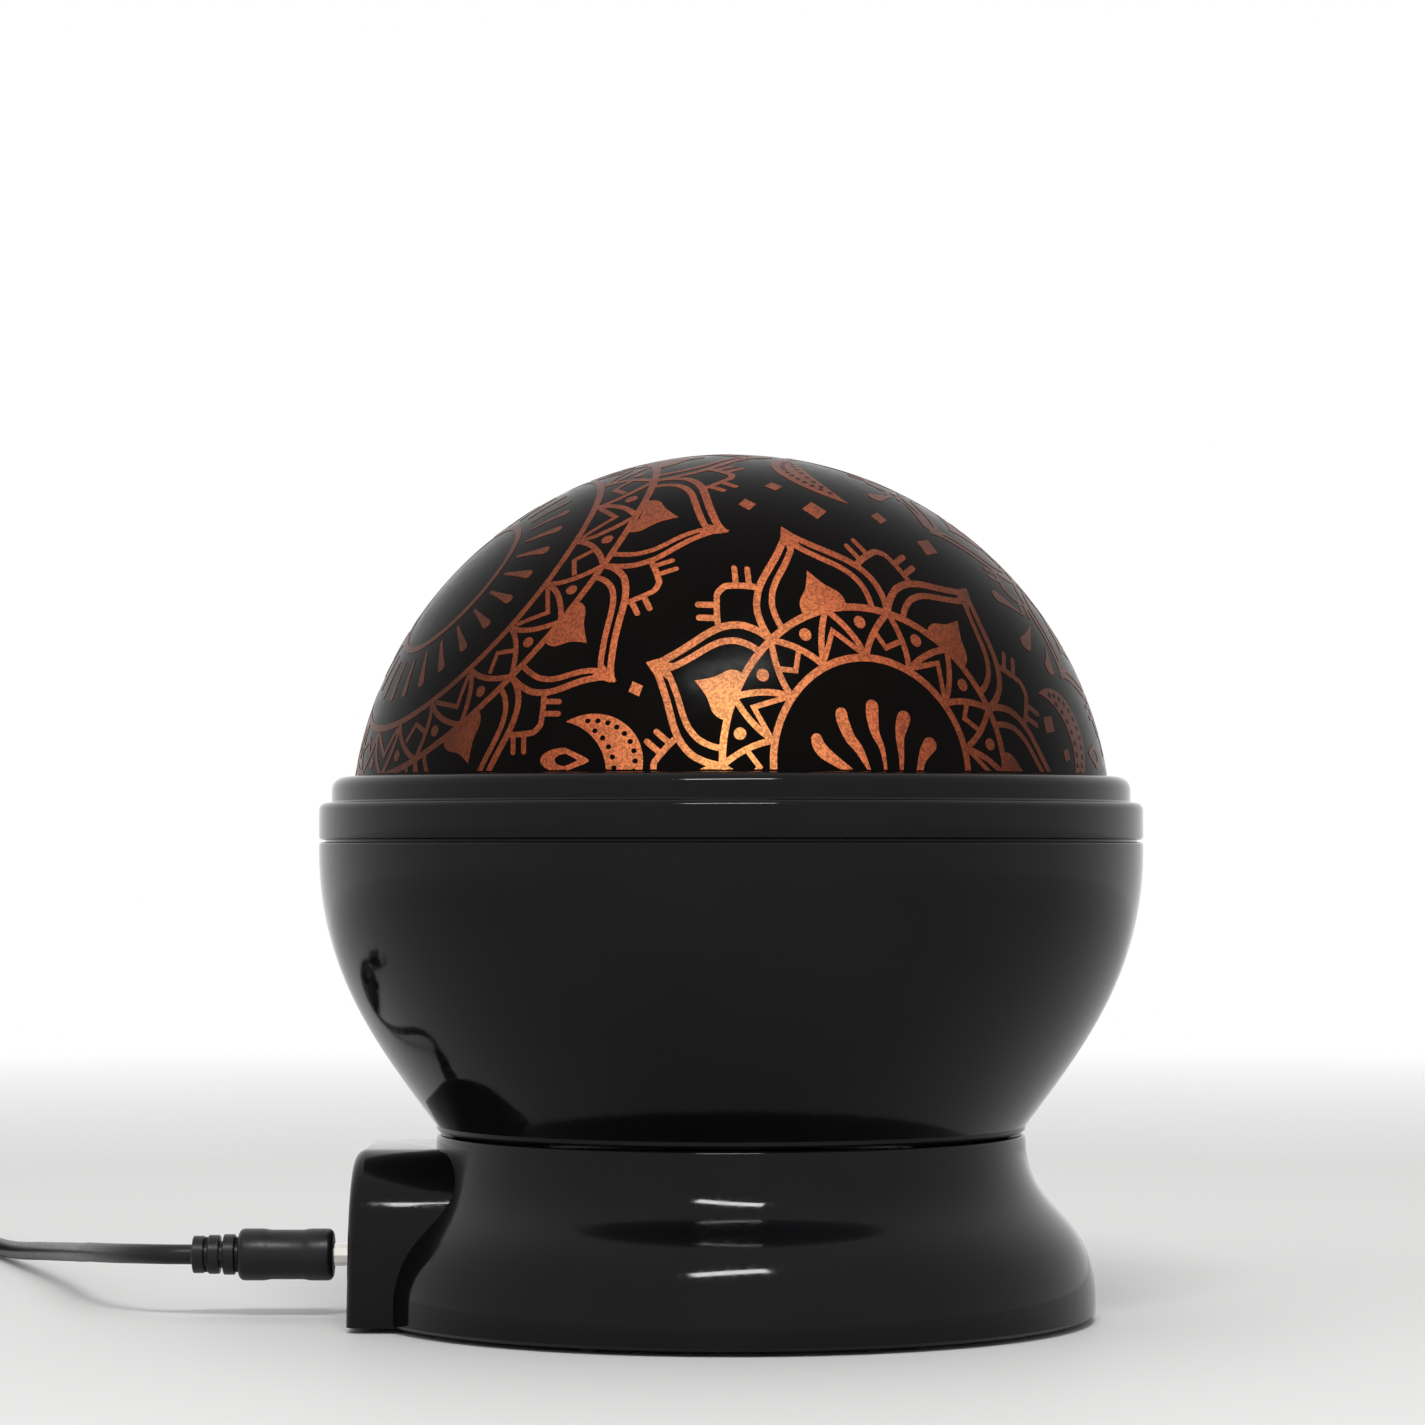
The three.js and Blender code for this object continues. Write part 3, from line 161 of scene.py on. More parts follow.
# Moulded plastic, rubber and metal all get a fine grain, and a colour and gloss that drift a little.
def mouldedFinish(name, colour, gloss, grainScale, grainDepth, drift=0.25, **values):
    material, tree, shader = newMaterial(name, **values)
    broad = noiseOn(tree, 60, 3)
    shade = ramp(tree, broad.outputs["Fac"], [
        (0.3, [c * (1 - drift) for c in colour]), (0.7, [min(1, c * (1 + drift)) for c in colour])])
    link(shade, "Color", shader, "Base Color")
    fine = noiseOn(tree, grainScale, 5)
    polish = ramp(tree, fine.outputs["Fac"], [(0.35, [gloss[0]]), (0.7, [gloss[1]])])
    link(polish, "Color", shader, "Roughness")
    bumpFrom(tree, shader, fine.outputs["Fac"], 0.25, grainDepth)
    return material


finishes = {
    "glossBlack": mouldedFinish("gloss black moulding", (0.0028, 0.0028, 0.0034), (0.05, 0.12), 900,
                                0.000003, specular=0.15),
    "satinBlack": mouldedFinish("satin black moulding", (0.009, 0.009, 0.0095), (0.38, 0.52), 2600,
                                0.00002, specular=0.4),
    "domeBlack": mouldedFinish("printed dome black", (0.003, 0.0022, 0.002), (0.16, 0.26), 500,
                               0.000002, specular=0.025),
    "rubber": mouldedFinish("foot rubber", (0.018, 0.018, 0.018), (0.75, 0.9), 3000, 0.00004, specular=0.3),
    "sleeve": mouldedFinish("cord sleeve", (0.005, 0.005, 0.0055), (0.3, 0.42), 1800, 0.00001,
                            specular=0.28),
    "white": mouldedFinish("white moulding", (0.8, 0.79, 0.76), (0.35, 0.5), 1200, 0.00001, drift=0.02),
    "nylon": mouldedFinish("natural nylon", (0.74, 0.69, 0.58), (0.42, 0.58), 900, 0.00001, drift=0.04,
                           subsurface=0.05),
    "board": mouldedFinish("green circuit board", (0.02, 0.16, 0.06), (0.25, 0.4), 700, 0.00001,
                           drift=0.15),
    "steel": mouldedFinish("plated steel", (0.6, 0.61, 0.62), (0.22, 0.38), 1500, 0.000006, drift=0.06,
                           metallic=1),
    "nickel": mouldedFinish("nickel plate", (0.76, 0.74, 0.69), (0.1, 0.22), 1200, 0.000003, drift=0.04,
                            metallic=1),
    "cell": mouldedFinish("cell sleeve", (0.03, 0.12, 0.3), (0.2, 0.3), 700, 0.000004, drift=0.08,
                          metallic=0.3),
}


def lensFinish(name, colour, glow):
    return mouldedFinish(name, colour, (0.08, 0.16), 800, 0.000002, drift=0.05, clear=0.35,
                         glow=glow, glowColour=(*colour, 1), coat=0.4)


# Colour and glow of each lamp.
lampLooks = {
    "warm": ((1.0, 0.62, 0.25), 2.2), "red": ((0.8, 0.06, 0.04), 0.5), "green": ((0.08, 0.55, 0.12), 0.5),
    "blue": ((0.05, 0.14, 0.8), 0.5),
}
for lampName, look in lampLooks.items():
    finishes[lampName] = lensFinish(lampName + " lamp lens", *look)


# Painted light through the clear lines of the print: an emission stands in for the light of the lamps
# inside. It is golden in a painted hot spot round a fixed point of the dome, where the light comes straight
# on, and copper at the sides.
glowPlan = {
    "strength": 0.93, "spot": (0.0, -0.056, 0.084), "squash": (1.3, 1.0, 0.62), "near": 0.004, "far": 0.064,
    "colours": [(0.0, (0.88, 0.36, 0.12)), (0.09, (0.57, 0.19, 0.07)), (0.24, (0.51, 0.147, 0.053)),
                (0.36, (0.38, 0.09, 0.034)), (0.46, (0.24, 0.052, 0.02)), (0.62, (0.13, 0.026, 0.009)),
                (0.85, (0.035, 0.006, 0.002))],
}


def multiply(tree, first, second):
    product = addNode(tree, "ShaderNodeMixRGB", blend_type="MULTIPLY", Fac=1.0)
    link(first, "Color", product, "Color1")
    link(second, "Color", product, "Color2")
    return product


def printGlow(plan):
    material, tree, shader = newMaterial("light through the print", roughness=0.3, specular=0.05,
                                         glow=plan["strength"])
    place = addNode(tree, "ShaderNodeTexCoord")
    offset = addNode(tree, "ShaderNodeVectorMath", operation="SUBTRACT")
    scaled = addNode(tree, "ShaderNodeVectorMath", operation="MULTIPLY")
    away = addNode(tree, "ShaderNodeVectorMath", operation="LENGTH")
    link(place, "Object", offset, 0)
    offset.inputs[1].default_value = plan["spot"]
    link(offset, "Vector", scaled, 0)
    scaled.inputs[1].default_value = plan["squash"]
    link(scaled, "Vector", away, 0)
    rise = addNode(tree, "ShaderNodeMapRange", From_Min=plan["near"], From_Max=plan["far"])
    link(away, "Value", rise, "Value")
    # Painted hot spot: the glow is golden and brightest round the spot and fades to copper further off.
    paintedHotSpot = ramp(tree, rise.outputs["Result"], plan["colours"])
    cloud = noiseOn(tree, 220, 8)
    soft = ramp(tree, cloud.outputs["Fac"], [(0.3, (0.84,)), (0.7, (1.05,))])
    # Painted glints: a few glitter flakes lift the glow up to 1.8 times, standing in for light glinting off
    # them.
    glitter = noiseOn(tree, 3200, kind="ShaderNodeTexVoronoi")
    paintedGlints = ramp(tree, glitter.outputs["Color"],
                  [(0.1, (0.93,)), (0.88, (1.0,)), (0.94, (1.0,)), (0.98, (1.8,))])
    tree.links.new(multiply(tree, multiply(tree, paintedHotSpot, soft), paintedGlints).outputs["Color"],
                   shader.inputs["Emission Color"])
    shade = ramp(tree, cloud.outputs["Fac"], [(0.3, (0.016, 0.007, 0.004)), (0.7, (0.03, 0.012, 0.006))])
    link(shade, "Color", shader, "Base Color")
    return material


finishes["glow"] = printGlow(glowPlan)
print("materials made")


# Helpers for shaping.
def named(name):
    piece = bpy.context.object
    piece.name = name
    return piece


def clearChoice():
    bpy.ops.object.select_all(action="DESELECT")


def bakeMoves():
    bpy.ops.object.transform_apply(location=True, rotation=True, scale=True)


def selectAll(action="SELECT"):
    bpy.ops.mesh.select_all(action=action)


def alone(piece):
    clearChoice()
    piece.select_set(True)
    bpy.context.view_layer.objects.active = piece
    return piece


def edit(piece):
    alone(piece)
    bpy.ops.object.mode_set(mode="EDIT")


def leave():
    bpy.ops.object.mode_set(mode="OBJECT")


def settle(piece, smoothAngle=35):
    alone(piece)
    bakeMoves()
    bpy.ops.object.shade_smooth_by_angle(angle=math.radians(smoothAngle))
    return piece


def dress(piece, body, finish, slot, *stoodFor):
    piece.data.materials.clear()
    piece.data.materials.append(finishes[finish])
    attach(piece, body)
    if stoodFor:
        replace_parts(piece, *stoodFor)
    return piece


def applyModifier(piece, kind, **values):
    alone(piece)
    modifier = piece.modifiers.new(kind.lower(), kind)
    for name, value in values.items():
        setattr(modifier, name, value)
    bpy.ops.object.modifier_apply(modifier=modifier.name)


def softenEdges(piece, width, angle, segments=3):
    applyModifier(piece, "BEVEL", width=width * mm, segments=segments, limit_method="ANGLE",
                  angle_limit=math.radians(angle))


def combine(piece, other, operation="DIFFERENCE"):
    applyModifier(piece, "BOOLEAN", object=other, operation=operation, solver="EXACT")
    bpy.data.objects.remove(other, do_unlink=True)


def joinPieces(first, *others):
    alone(first)
    for other in others:
        other.select_set(True)
    bpy.ops.object.join()
    return first


def addBlock(name, low, high):
    low, high = Vector(low) * mm, Vector(high) * mm
    clearChoice()
    bpy.ops.mesh.primitive_cube_add(size=1, location=(low + high) / 2)
    block = named(name)
    block.scale = high - low
    bakeMoves()
    return block


def addRod(name, radius, fromPoint, toPoint, sides=48):
    a, b = Vector(fromPoint) * mm, Vector(toPoint) * mm
    clearChoice()
    bpy.ops.mesh.primitive_cylinder_add(vertices=sides, radius=radius * mm, depth=(b - a).length,
                                        location=(a + b) / 2,
                                        rotation=(b - a).to_track_quat("Z", "Y").to_euler())
    rod = named(name)
    bakeMoves()
    return rod


# Goes into edit mode with those vertices, edges or faces selected that pass the test.
def choose(piece, mode, test):
    edit(piece)
    bpy.ops.mesh.select_mode(type=mode)
    selectAll("DESELECT")
    mesh = bmesh.from_edit_mesh(piece.data)
    for part in {"VERT": mesh.verts, "EDGE": mesh.edges, "FACE": mesh.faces}[mode]:
        if test(part):
            part.select_set(True)
    bmesh.update_edit_mesh(piece.data)


def isAlong(a, b, axis):
    return all(abs(a[k] - b[k]) < same for k in range(3) if k != axis)


# The test gets an edge's two ends in millimetres.
def bevelEdges(piece, test, width, segments=5):
    choose(piece, "EDGE", lambda edge: test(*[v.co / mm for v in edge.verts]))
    bpy.ops.mesh.bevel(offset=width * mm, segments=segments, affect="EDGES")
    leave()


def bevelAlong(piece, axis, width, segments):
    bevelEdges(piece, lambda a, b: isAlong(a, b, axis), width, segments)


def curvePoints(points, steps):
    a, b, c, d = [Vector(p) for p in points]
    return [((1 - t) ** 3 * a + 3 * (1 - t) ** 2 * t * b + 3 * (1 - t) * t ** 2 * c + t ** 3 * d)
            for t in [i / steps for i in range(steps + 1)]]


def arcPoints(x, y, radius, start, end, steps):
    turn = [math.radians(start + (end - start) * i / steps) for i in range(steps + 1)]
    return [Vector((x + radius * math.cos(a), y + radius * math.sin(a))) for a in turn]


# Rounded corner of an outline, at the outer edge of its top or of its foot.
def topCorner(x, y, radius, steps):
    return arcPoints(x - radius, y - radius, radius, 0, 90, steps)


def footCorner(x, y, radius, steps):
    return arcPoints(x - radius, y + radius, radius, -90, 0, steps)


def insetLine(line, distance):
    moved = []
    for i, p in enumerate(line):
        along = (line[min(i + 1, len(line) - 1)] - line[max(i - 1, 0)]).normalized()
        moved.append(Vector((p.x - along.y * distance, p.y + along.x * distance)))
    return moved


def weldAll():
    selectAll()
    bpy.ops.mesh.remove_doubles(threshold=weldGap)


def cutBelow(height):
    selectAll()
    bpy.ops.mesh.bisect(plane_co=(0, 0, height * mm), plane_no=(0, 0, 1), clear_inner=True)


# A line of [radius, height] points is drawn by extruding one point, then spun round the Z axis.
def spinOutline(name, outline, steps=128, closed=True):
    outline = [Vector((p[0], p[1])) for p in outline]
    clearChoice()
    bpy.ops.mesh.primitive_plane_add(size=mm)
    piece = named(name)
    bpy.ops.object.mode_set(mode="EDIT")
    bpy.ops.mesh.select_mode(type="VERT")
    selectAll()
    bpy.ops.mesh.merge(type="CENTER")
    selectAll()
    bpy.ops.transform.translate(value=(outline[0].x * mm, 0, outline[0].y * mm))
    for before, after in zip(outline, outline[1:] + ([outline[0]] if closed else [])):
        step = after - before
        bpy.ops.mesh.extrude_vertices_move(TRANSFORM_OT_translate={"value": (step.x * mm, 0, step.y * mm)})
    weldAll()
    bpy.ops.mesh.spin(steps=steps, angle=2 * math.pi, center=(0, 0, 0), axis=(0, 0, 1))
    weldAll()
    bpy.ops.mesh.normals_make_consistent(inside=False)
    leave()
    return piece


def turnTo(piece, direction, place):
    alone(piece)
    piece.rotation_euler = Vector(direction).to_track_quat("Z", "Y").to_euler()
    piece.location = Vector(place) * mm
    bakeMoves()


# The power lead.
cordPlan = {
    "radius": 1.5, "gap": 0.25, "turnGap": 0.5, "lift": 0.6, "meanRadius": 17.7, "turns": 9.44,
    "stepsPerTurn": 36, "leadIn": 3, "leadOut": 16, "plugHeight": 4, "exit": (-81.0, 0, 9.4), "length": 1.2,
    "climb": 0.25, "tailShares": (0.2, 0.35, 0.5, 0.65, 0.8, 1), "tailRise": (0.1, 0.8),
    "route": [
        (-81.3, 0, 9.4), (-84.5, 0.1, 9.4), (-87.5, 1.2, 9.35), (-90.5, 3.6, 9.2), (-93.5, 7.4, 8.9),
        (-96.5, 12.8, 8.5), (-99.3, 19.5, 8), (-101.8, 27, 7.3), (-104.2, 35.5, 6.6), (-107, 45, 5.8),
        (-110.4, 55.5, 4.9), (-114.2, 66.5, 4), (-118.4, 78, 3), (-122.6, 89.5, 2.2), (-126.8, 100.8, 1.75),
        (-131, 111.8, 1.95), (-132.4, 115.5, 2.1),
    ],
}


def smoothStep(value, low, high):
    share = min(1, max(0, (value - low) / (high - low)))
    return share * share * (3 - 2 * share)


def throughPoints(points, steps):
    points = [Vector(p) for p in points]
    line = []
    for i in range(len(points) - 1):
        before, a, b = points[max(i - 1, 0)], points[i], points[i + 1]
        after = points[min(i + 2, len(points) - 1)]
        for k in range(steps):
            t = k / steps
            line.append(0.5 * (2 * a + (b - before) * t + (2 * before - 5 * a + 4 * b - after) * t * t
                               + (3 * a - before - 3 * b + after) * t ** 3))
    return line + [points[-1]]


# The coil winds in along the floor, climbs a layer in the middle and winds out again on top.
def cordLine(plan):
    end, previous = Vector(plan["route"][-1]), Vector(plan["route"][-2])
    heading = end - previous
    heading.z = 0
    heading.normalize()
    pitch = 2 * plan["radius"] + plan["turnGap"]
    width = plan["turns"] / 2 * pitch
    inner = plan["meanRadius"] - width / 2
    start = end + heading * (plan["gap"] + plan["leadIn"])
    centre = start + up.cross(heading) * (inner + width)
    bearing = math.atan2(start.y - centre.y, start.x - centre.x)
    low = plan["radius"] + plan["lift"]
    steps = round(plan["turns"] * plan["stepsPerTurn"])
    wound = []
    for i in range(steps + 1):
        toMiddle = (i / steps - 0.5) * plan["turns"]
        radius = inner + abs(toMiddle) * pitch
        angle = bearing + 2 * math.pi * plan["turns"] * i / steps
        wound.append(Vector((centre.x + radius * math.cos(angle), centre.y + radius * math.sin(angle),
                             low + smoothStep(toMiddle, -plan["climb"], plan["climb"]) * pitch)))
    ahead = wound[-1] - wound[-2]
    ahead.z = 0
    ahead.normalize()
    tail = []
    for share in plan["tailShares"]:
        spot = wound[-1] + ahead * plan["leadOut"] * share
        spot.z = low + pitch + (plan["plugHeight"] - low - pitch) * smoothStep(share, *plan["tailRise"])
        tail.append(spot)
    return throughPoints(plan["route"], 3) + wound + tail


def sweptCord(name, line, radius, sides=6):
    curve = bpy.data.curves.new(name, "CURVE")
    curve.dimensions = "3D"
    curve.bevel_depth = radius * mm
    curve.bevel_resolution = sides
    curve.use_fill_caps = True
    spline = curve.splines.new("POLY")
    spline.points.add(len(line) - 1)
    for point, place in zip(spline.points, line):
        point.co = (*(place * mm), 1)
    spline.use_smooth = True
    piece = bpy.data.objects.new(name, curve)
    bpy.context.collection.objects.link(piece)
    return piece


cord = sweptCord("power_cord_whole", cordLine(cordPlan), cordPlan["radius"])
dress(cord, "power_lead", "sleeve", "cord_black", "power_cord", "power_cord_coil")

plugPlan = {
    "front": -59.8, "height": 9.4, "bodyRadius": 3.9, "bodyLength": 14.3, "round": 0.9, "hole": 1.95,
    "holeDepth": 3, "waist": 3.72, "waistStep": 0.1, "waistFrom": (3.4, 4.0, 4.6),
    "waistTo": (9.4, 10.0, 10.6), "core": 2.05, "reliefRadius": 3.05, "reliefLength": 6.9, "rings": 3,
    "ringShare": 0.76, "ringStep": 0.12, "ringEdge": 0.15, "bridge": (0.7, 2.6), "bridgeSink": 0.05,
    "bridgeShare": 0.6,
}


# Round moulded plug with a waist, and a ribbed strain relief behind it.
def makePlug(plan):
    body, length, corner, waist, core, edge = pick(plan, "bodyRadius bodyLength round waist core ringEdge")
    radii = (body, waist + plan["waistStep"], waist)
    outline = [(plan["hole"], 0)] + footCorner(body, 0, corner, 5)
    outline += [*zip(radii, plan["waistFrom"]), *zip(radii[::-1], plan["waistTo"])]
    outline += topCorner(body, length, corner, 5) + [(core, length)]
    relief, depth, pitch = plan["reliefLength"], plan["holeDepth"], plan["reliefLength"] / plan["rings"]
    for n in range(plan["rings"]):
        start = length + pitch * (n + 1 - plan["ringShare"])
        end = length + pitch * (n + 1)
        radius = plan["reliefRadius"] - plan["ringStep"] * n
        outline += [(core, start), (radius - edge, start), (radius, start + edge), (radius, end - edge),
                    (radius - edge, end), (core, end)]
    outline += [(0, length + relief), (0, depth), (plan["hole"], depth)]
    clean = [outline[0]]
    for p in outline[1:]:
        if (Vector(p) - Vector(clean[-1])).length > same:
            clean.append(p)
    plug = spinOutline("power_plug", clean, 64)
    bridges = []
    for n in range(plan["rings"]):
        z = length + pitch * n
        x, y = plan["bridge"][::-1] if n % 2 else plan["bridge"]
        bridges.append(addBlock("bridge", (-x, -y, z - plan["bridgeSink"]),
                                (x, y, z + pitch * plan["bridgeShare"])))
    plug = joinPieces(plug, *bridges)
    turnTo(plug, (-1, 0, 0), (plan["front"], 0, plan["height"]))
    return dress(settle(plug, 32), "power_lead", "sleeve", "cord_black", "plug_body")


plug = makePlug(plugPlan)


gripPlan = {
    "corner": 1.7, "mouth": (12.4, 4.9, 3.0), "front": 0.8,
    "stations": [(1.2, 1.0, 1.0), (5.2, 1.0, 1.0), (2.4, 0.97, 0.98), (3.0, 0.955, 0.97), (3.0, 0.97, 0.98),
                 (2.2, 1.0, 1.0), (2.6, 0.97, 0.96), (1.6, 0.8, 0.86), (1.1, 0.56, 0.72)],
    "ribs": 5, "ribStart": 8.6, "ribPitch": 1.9, "ribDepth": 0.45, "ribHalf": 0.4, "ribMargin": 1.4,
    "ribShare": 0.97, "soft": 0.25,
}


# Flat grip of the far plug: its front face is extruded back, station by station.
def makeGrip(plan):
    low, high = boxOf("usb_grip")
    middle = (low + high) / 2
    behind = low.y + plan["front"]
    grip = addBlock("usb_grip_moulded", low, (high.x, behind, high.z))
    bevelAlong(grip, 1, plan["corner"], 6)
    choose(grip, "FACE", lambda face: face.normal.y > 0.9)
    wide, tall, left = 1.0, 1.0, high.y - behind
    total = sum(station[0] for station in plan["stations"])
    for length, width, height in plan["stations"]:
        step = length * left / total
        bpy.ops.mesh.extrude_region_move(TRANSFORM_OT_translate={"value": (0, step * mm, 0)})
        behind += step
        bpy.ops.transform.resize(value=(width / wide, 1, height / tall),
                                 center_override=(middle.x * mm, behind * mm, middle.z * mm))
        wide, tall = width, height
    leave()
    deep, half, margin, (mouthWide, mouthTall, mouthDeep) = pick(plan, "ribDepth ribHalf ribMargin mouth")
    cuts = []
    for n in range(plan["ribs"]):
        y = low.y + plan["ribStart"] + n * plan["ribPitch"]
        for side in (-1, 1):
            x = middle.x + side * (high.x - low.x) / 2 * plan["ribShare"]
            cuts.append(addBlock("groove", (x - deep, y - half, low.z + margin),
                                 (x + deep, y + half, high.z - margin)))
    combine(grip, joinPieces(*cuts))
    combine(grip, addBlock("mouth", (middle.x - mouthWide / 2, low.y - overrun, middle.z - mouthTall / 2),
                           (middle.x + mouthWide / 2, low.y + mouthDeep, middle.z + mouthTall / 2)))
    softenEdges(grip, plan["soft"], 40)
    return dress(settle(grip), "power_lead", "sleeve", "cord_black", "usb_grip")


usbPlan = {
    "wall": 0.45, "mouthEnd": 3, "catch": 2.6, "catchHalf": 1.15, "catchFrom": 4.6, "catchTo": 6.9,
    "tongueSide": 0.55, "tongueFront": 0.6, "tongueEnd": 2.9, "tongueRise": 0.1, "soft": 0.14,
    "tongueSoft": 0.12,
}


def makeUsbShell(plan):
    low, high = boxOf("usb_shell")
    middle, wall, side = (low + high) / 2, plan["wall"], plan["tongueSide"]
    shell = addBlock("usb_shell_plated", low, high)
    combine(shell, addBlock("mouth", (low.x + wall, low.y - overrun, low.z + wall),
                            (high.x - wall, high.y - plan["mouthEnd"], high.z - wall)))
    half, front, back = plan["catchHalf"], low.y + plan["catchFrom"], low.y + plan["catchTo"]
    for x in (middle.x - plan["catch"], middle.x + plan["catch"]):
        for z in (high.z, low.z):
            combine(shell, addBlock("catch", (x - half, front, z - overrun), (x + half, back, z + overrun)))
    softenEdges(shell, plan["soft"], 50)
    dress(settle(shell), "power_lead", "nickel", "nickel", "usb_shell")
    front, back = low.y + plan["tongueFront"], high.y - plan["tongueEnd"]
    tongue = addBlock("usb_tongue", (low.x + side, front, middle.z + plan["tongueRise"]),
                      (high.x - side, back, high.z - side))
    applyModifier(tongue, "BEVEL", width=plan["tongueSoft"] * mm, segments=2)
    return shell, dress(settle(tongue), "power_lead", "white", "white_plastic")


grip = makeGrip(gripPlan)
usbShell, usbTongue = makeUsbShell(usbPlan)


tiePlan = {"thickness": 0.4, "corner": 1.1, "innerCorner": 0.7, "soft": 0.1}


# Woven strap round the bundle.
def makeTie(plan):
    low, high = boxOf("cord_tie")
    wall = plan["thickness"]
    strap = addBlock("cord_tie_strap", low, high)
    bevelAlong(strap, 0, plan["corner"], 6)
    hole = addBlock("hole", (low.x - overrun, low.y + wall, low.z + wall),
                    (high.x + overrun, high.y - wall, high.z - wall))
    bevelAlong(hole, 0, plan["innerCorner"], 6)
    combine(strap, hole)
    softenEdges(strap, plan["soft"], 60, 2)
    return dress(settle(strap), "power_lead", "satinBlack", "satin_black", "cord_tie")


tie = makeTie(tiePlan)
print("power lead laid")


# The base with its control box.
basePlan = {
    "foot": (54.7, 0.8), "pulls": [(54.7, 17.0), (44.3, 15.3)], "neck": (44.3, 27.3), "straight": 3.0,
    "top": 27.8, "round": 0.5, "edge": 0.5, "wall": 2.2, "deck": 2.0, "bore": 4.5, "margin": 0.3,
    "box": {"low": (-56.1, -24, 0.8), "high": (-30, 24, 26), "shoulder": 13, "edge": 1.9, "lean": 0.4},
    "window": {"low": (-60, -16, 4.8), "high": (-53, 16, 21.8), "corner": 5},
    "cavity": {"low": (-53.9, -21.8, -1), "high": (-30, 21.8, 23.8), "shoulder": 10.8},
    "boss": 3.15, "bossJoin": 0.5, "pilot": 1.35, "axle": 1.75, "axleFrom": 21.05, "pinion": 3.25,
    "coverBoss": 3.05, "coverHole": 10.9, "postBoss": 6, "motorBoss": 3, "motorHole": 26.4, "axleBoss": 5,
}


def screwPlace(name):
    return middleOf(name).xy


def rodsAt(name, radius, spots, sides=32):
    rods = [addRod(name, radius, (*spot, low), (*spot, high), sides) for spot, low, high in spots]
    return joinPieces(*rods)


def makeBase(plan):
    (footX, footZ), neck, top, wall = pick(plan, "foot neck top wall")
    corner, edge, bore, margin = pick(plan, "round edge bore margin")
    under, above = top - plan["deck"], top + overrun
    skirt = curvePoints([(footX, plan["straight"]), *plan["pulls"], neck], 36)
    inside = [p for p in insetLine(skirt, wall) if footZ + margin < p.y < under - margin]
    outline = [(footX - edge, footZ), (footX, footZ + edge)] + skirt
    outline += arcPoints(neck[0] - corner, neck[1], corner, 15, 90, 4)
    outline += [(bore, top), (bore, under), (inside[-1].x, under)] + inside[::-1] + [(footX - wall, footZ)]
    base = spinOutline("base_moulded", outline, 160)

    # The middle of the skirt's wall trims what is joined on from inside.
    def wallMiddle(bottom):
        half = [p for p in insetLine(skirt, wall / 2) if p.y > footZ + margin]
        outline = [(0, bottom), (footX - wall / 2, bottom)] + half + [(0, half[-1].y)]
        return spinOutline("trim", outline, 128, closed=False)

    low, high, lean, shoulder, rounding = pick(plan["box"], "low high lean shoulder edge")
    isShoulder = lambda a, b: abs(a.y - b.y) < same and min(a.z, b.z) > high[2] - near
    isFront = lambda a, b: max(a.x, b.x) < low[0] + 2 * lean and max(a.z, b.z) > low[2] + near
    block = addBlock("box", low, high)
    choose(block, "VERT", lambda v: v.co.x / mm < low[0] + near and v.co.z / mm > high[2] - near)
    bpy.ops.transform.translate(value=(lean * mm, 0, 0))
    leave()
    bevelEdges(block, isShoulder, shoulder, 20)
    bevelEdges(block, isFront, rounding, 8)
    combine(block, wallMiddle(-overrun))
    combine(base, block, "UNION")
    cavity = addBlock("cavity", plan["cavity"]["low"], plan["cavity"]["high"])
    isUpper = lambda a, b: isAlong(a, b, 0) and a.z > low[2] + near
    bevelEdges(cavity, isUpper, plan["cavity"]["shoulder"], 20)
    combine(base, cavity)
    window = addBlock("window", plan["window"]["low"], plan["window"]["high"])
    bevelAlong(window, 0, plan["window"]["corner"], 8)
    combine(base, window)

    postFoot, motorFoot = under - plan["postBoss"], under - plan["motorBoss"]
    screws = {"cover_screw": (3, plan["coverBoss"], (0, plan["coverHole"])),
              "post_screw": (2, postFoot, (postFoot - overrun, above)),
              "motor_screw": (2, motorFoot, (motorFoot - overrun, plan["motorHole"]))}
    spots, holes, bossTop = [], [], under + plan["bossJoin"]
    for kind, (count, foot, hole) in screws.items():
        for n in range(count):
            spots.append((screwPlace(f"{kind}_{n + 1}"), foot, bossTop))
            holes.append((screwPlace(f"{kind}_{n + 1}"), *hole))
    axle, pinion = screwPlace("idler_axle"), screwPlace("motor_pinion")
    bosses = rodsAt("boss", plan["boss"], spots + [(axle, under - plan["axleBoss"], bossTop)])
    combine(bosses, wallMiddle(footZ), "INTERSECT")
    combine(base, bosses, "UNION")
    combine(base, rodsAt("pilot", plan["pilot"], holes))
    combine(base, rodsAt("axle_hole", plan["axle"], [(axle, plan["axleFrom"], above)]))
    combine(base, rodsAt("pinion_hole", plan["pinion"], [(pinion, under - overrun, above)]))
    return dress(settle(base, 28), "base", "glossBlack", "gloss_black", "base_housing")


makeBase(basePlan)
print("base made")


# The bowl and its collar.
bowlPlan = {
    "foot": (44.3, 28.2), "lip": 0.9, "pulls": [(53.93, 41.88), (62, 52.6)], "rim": (62, 70.6),
    "seam": 71.5, "groove": 0.5, "wall": 2.2, "floor": (34.0, 36.0), "hub": (11.15, 13.35, 38.9),
    "edge": 0.35, "fillet": 2.5, "ledge": (1.8, 69.25, 68.0, 66.8), "inside": (38, 63),
}


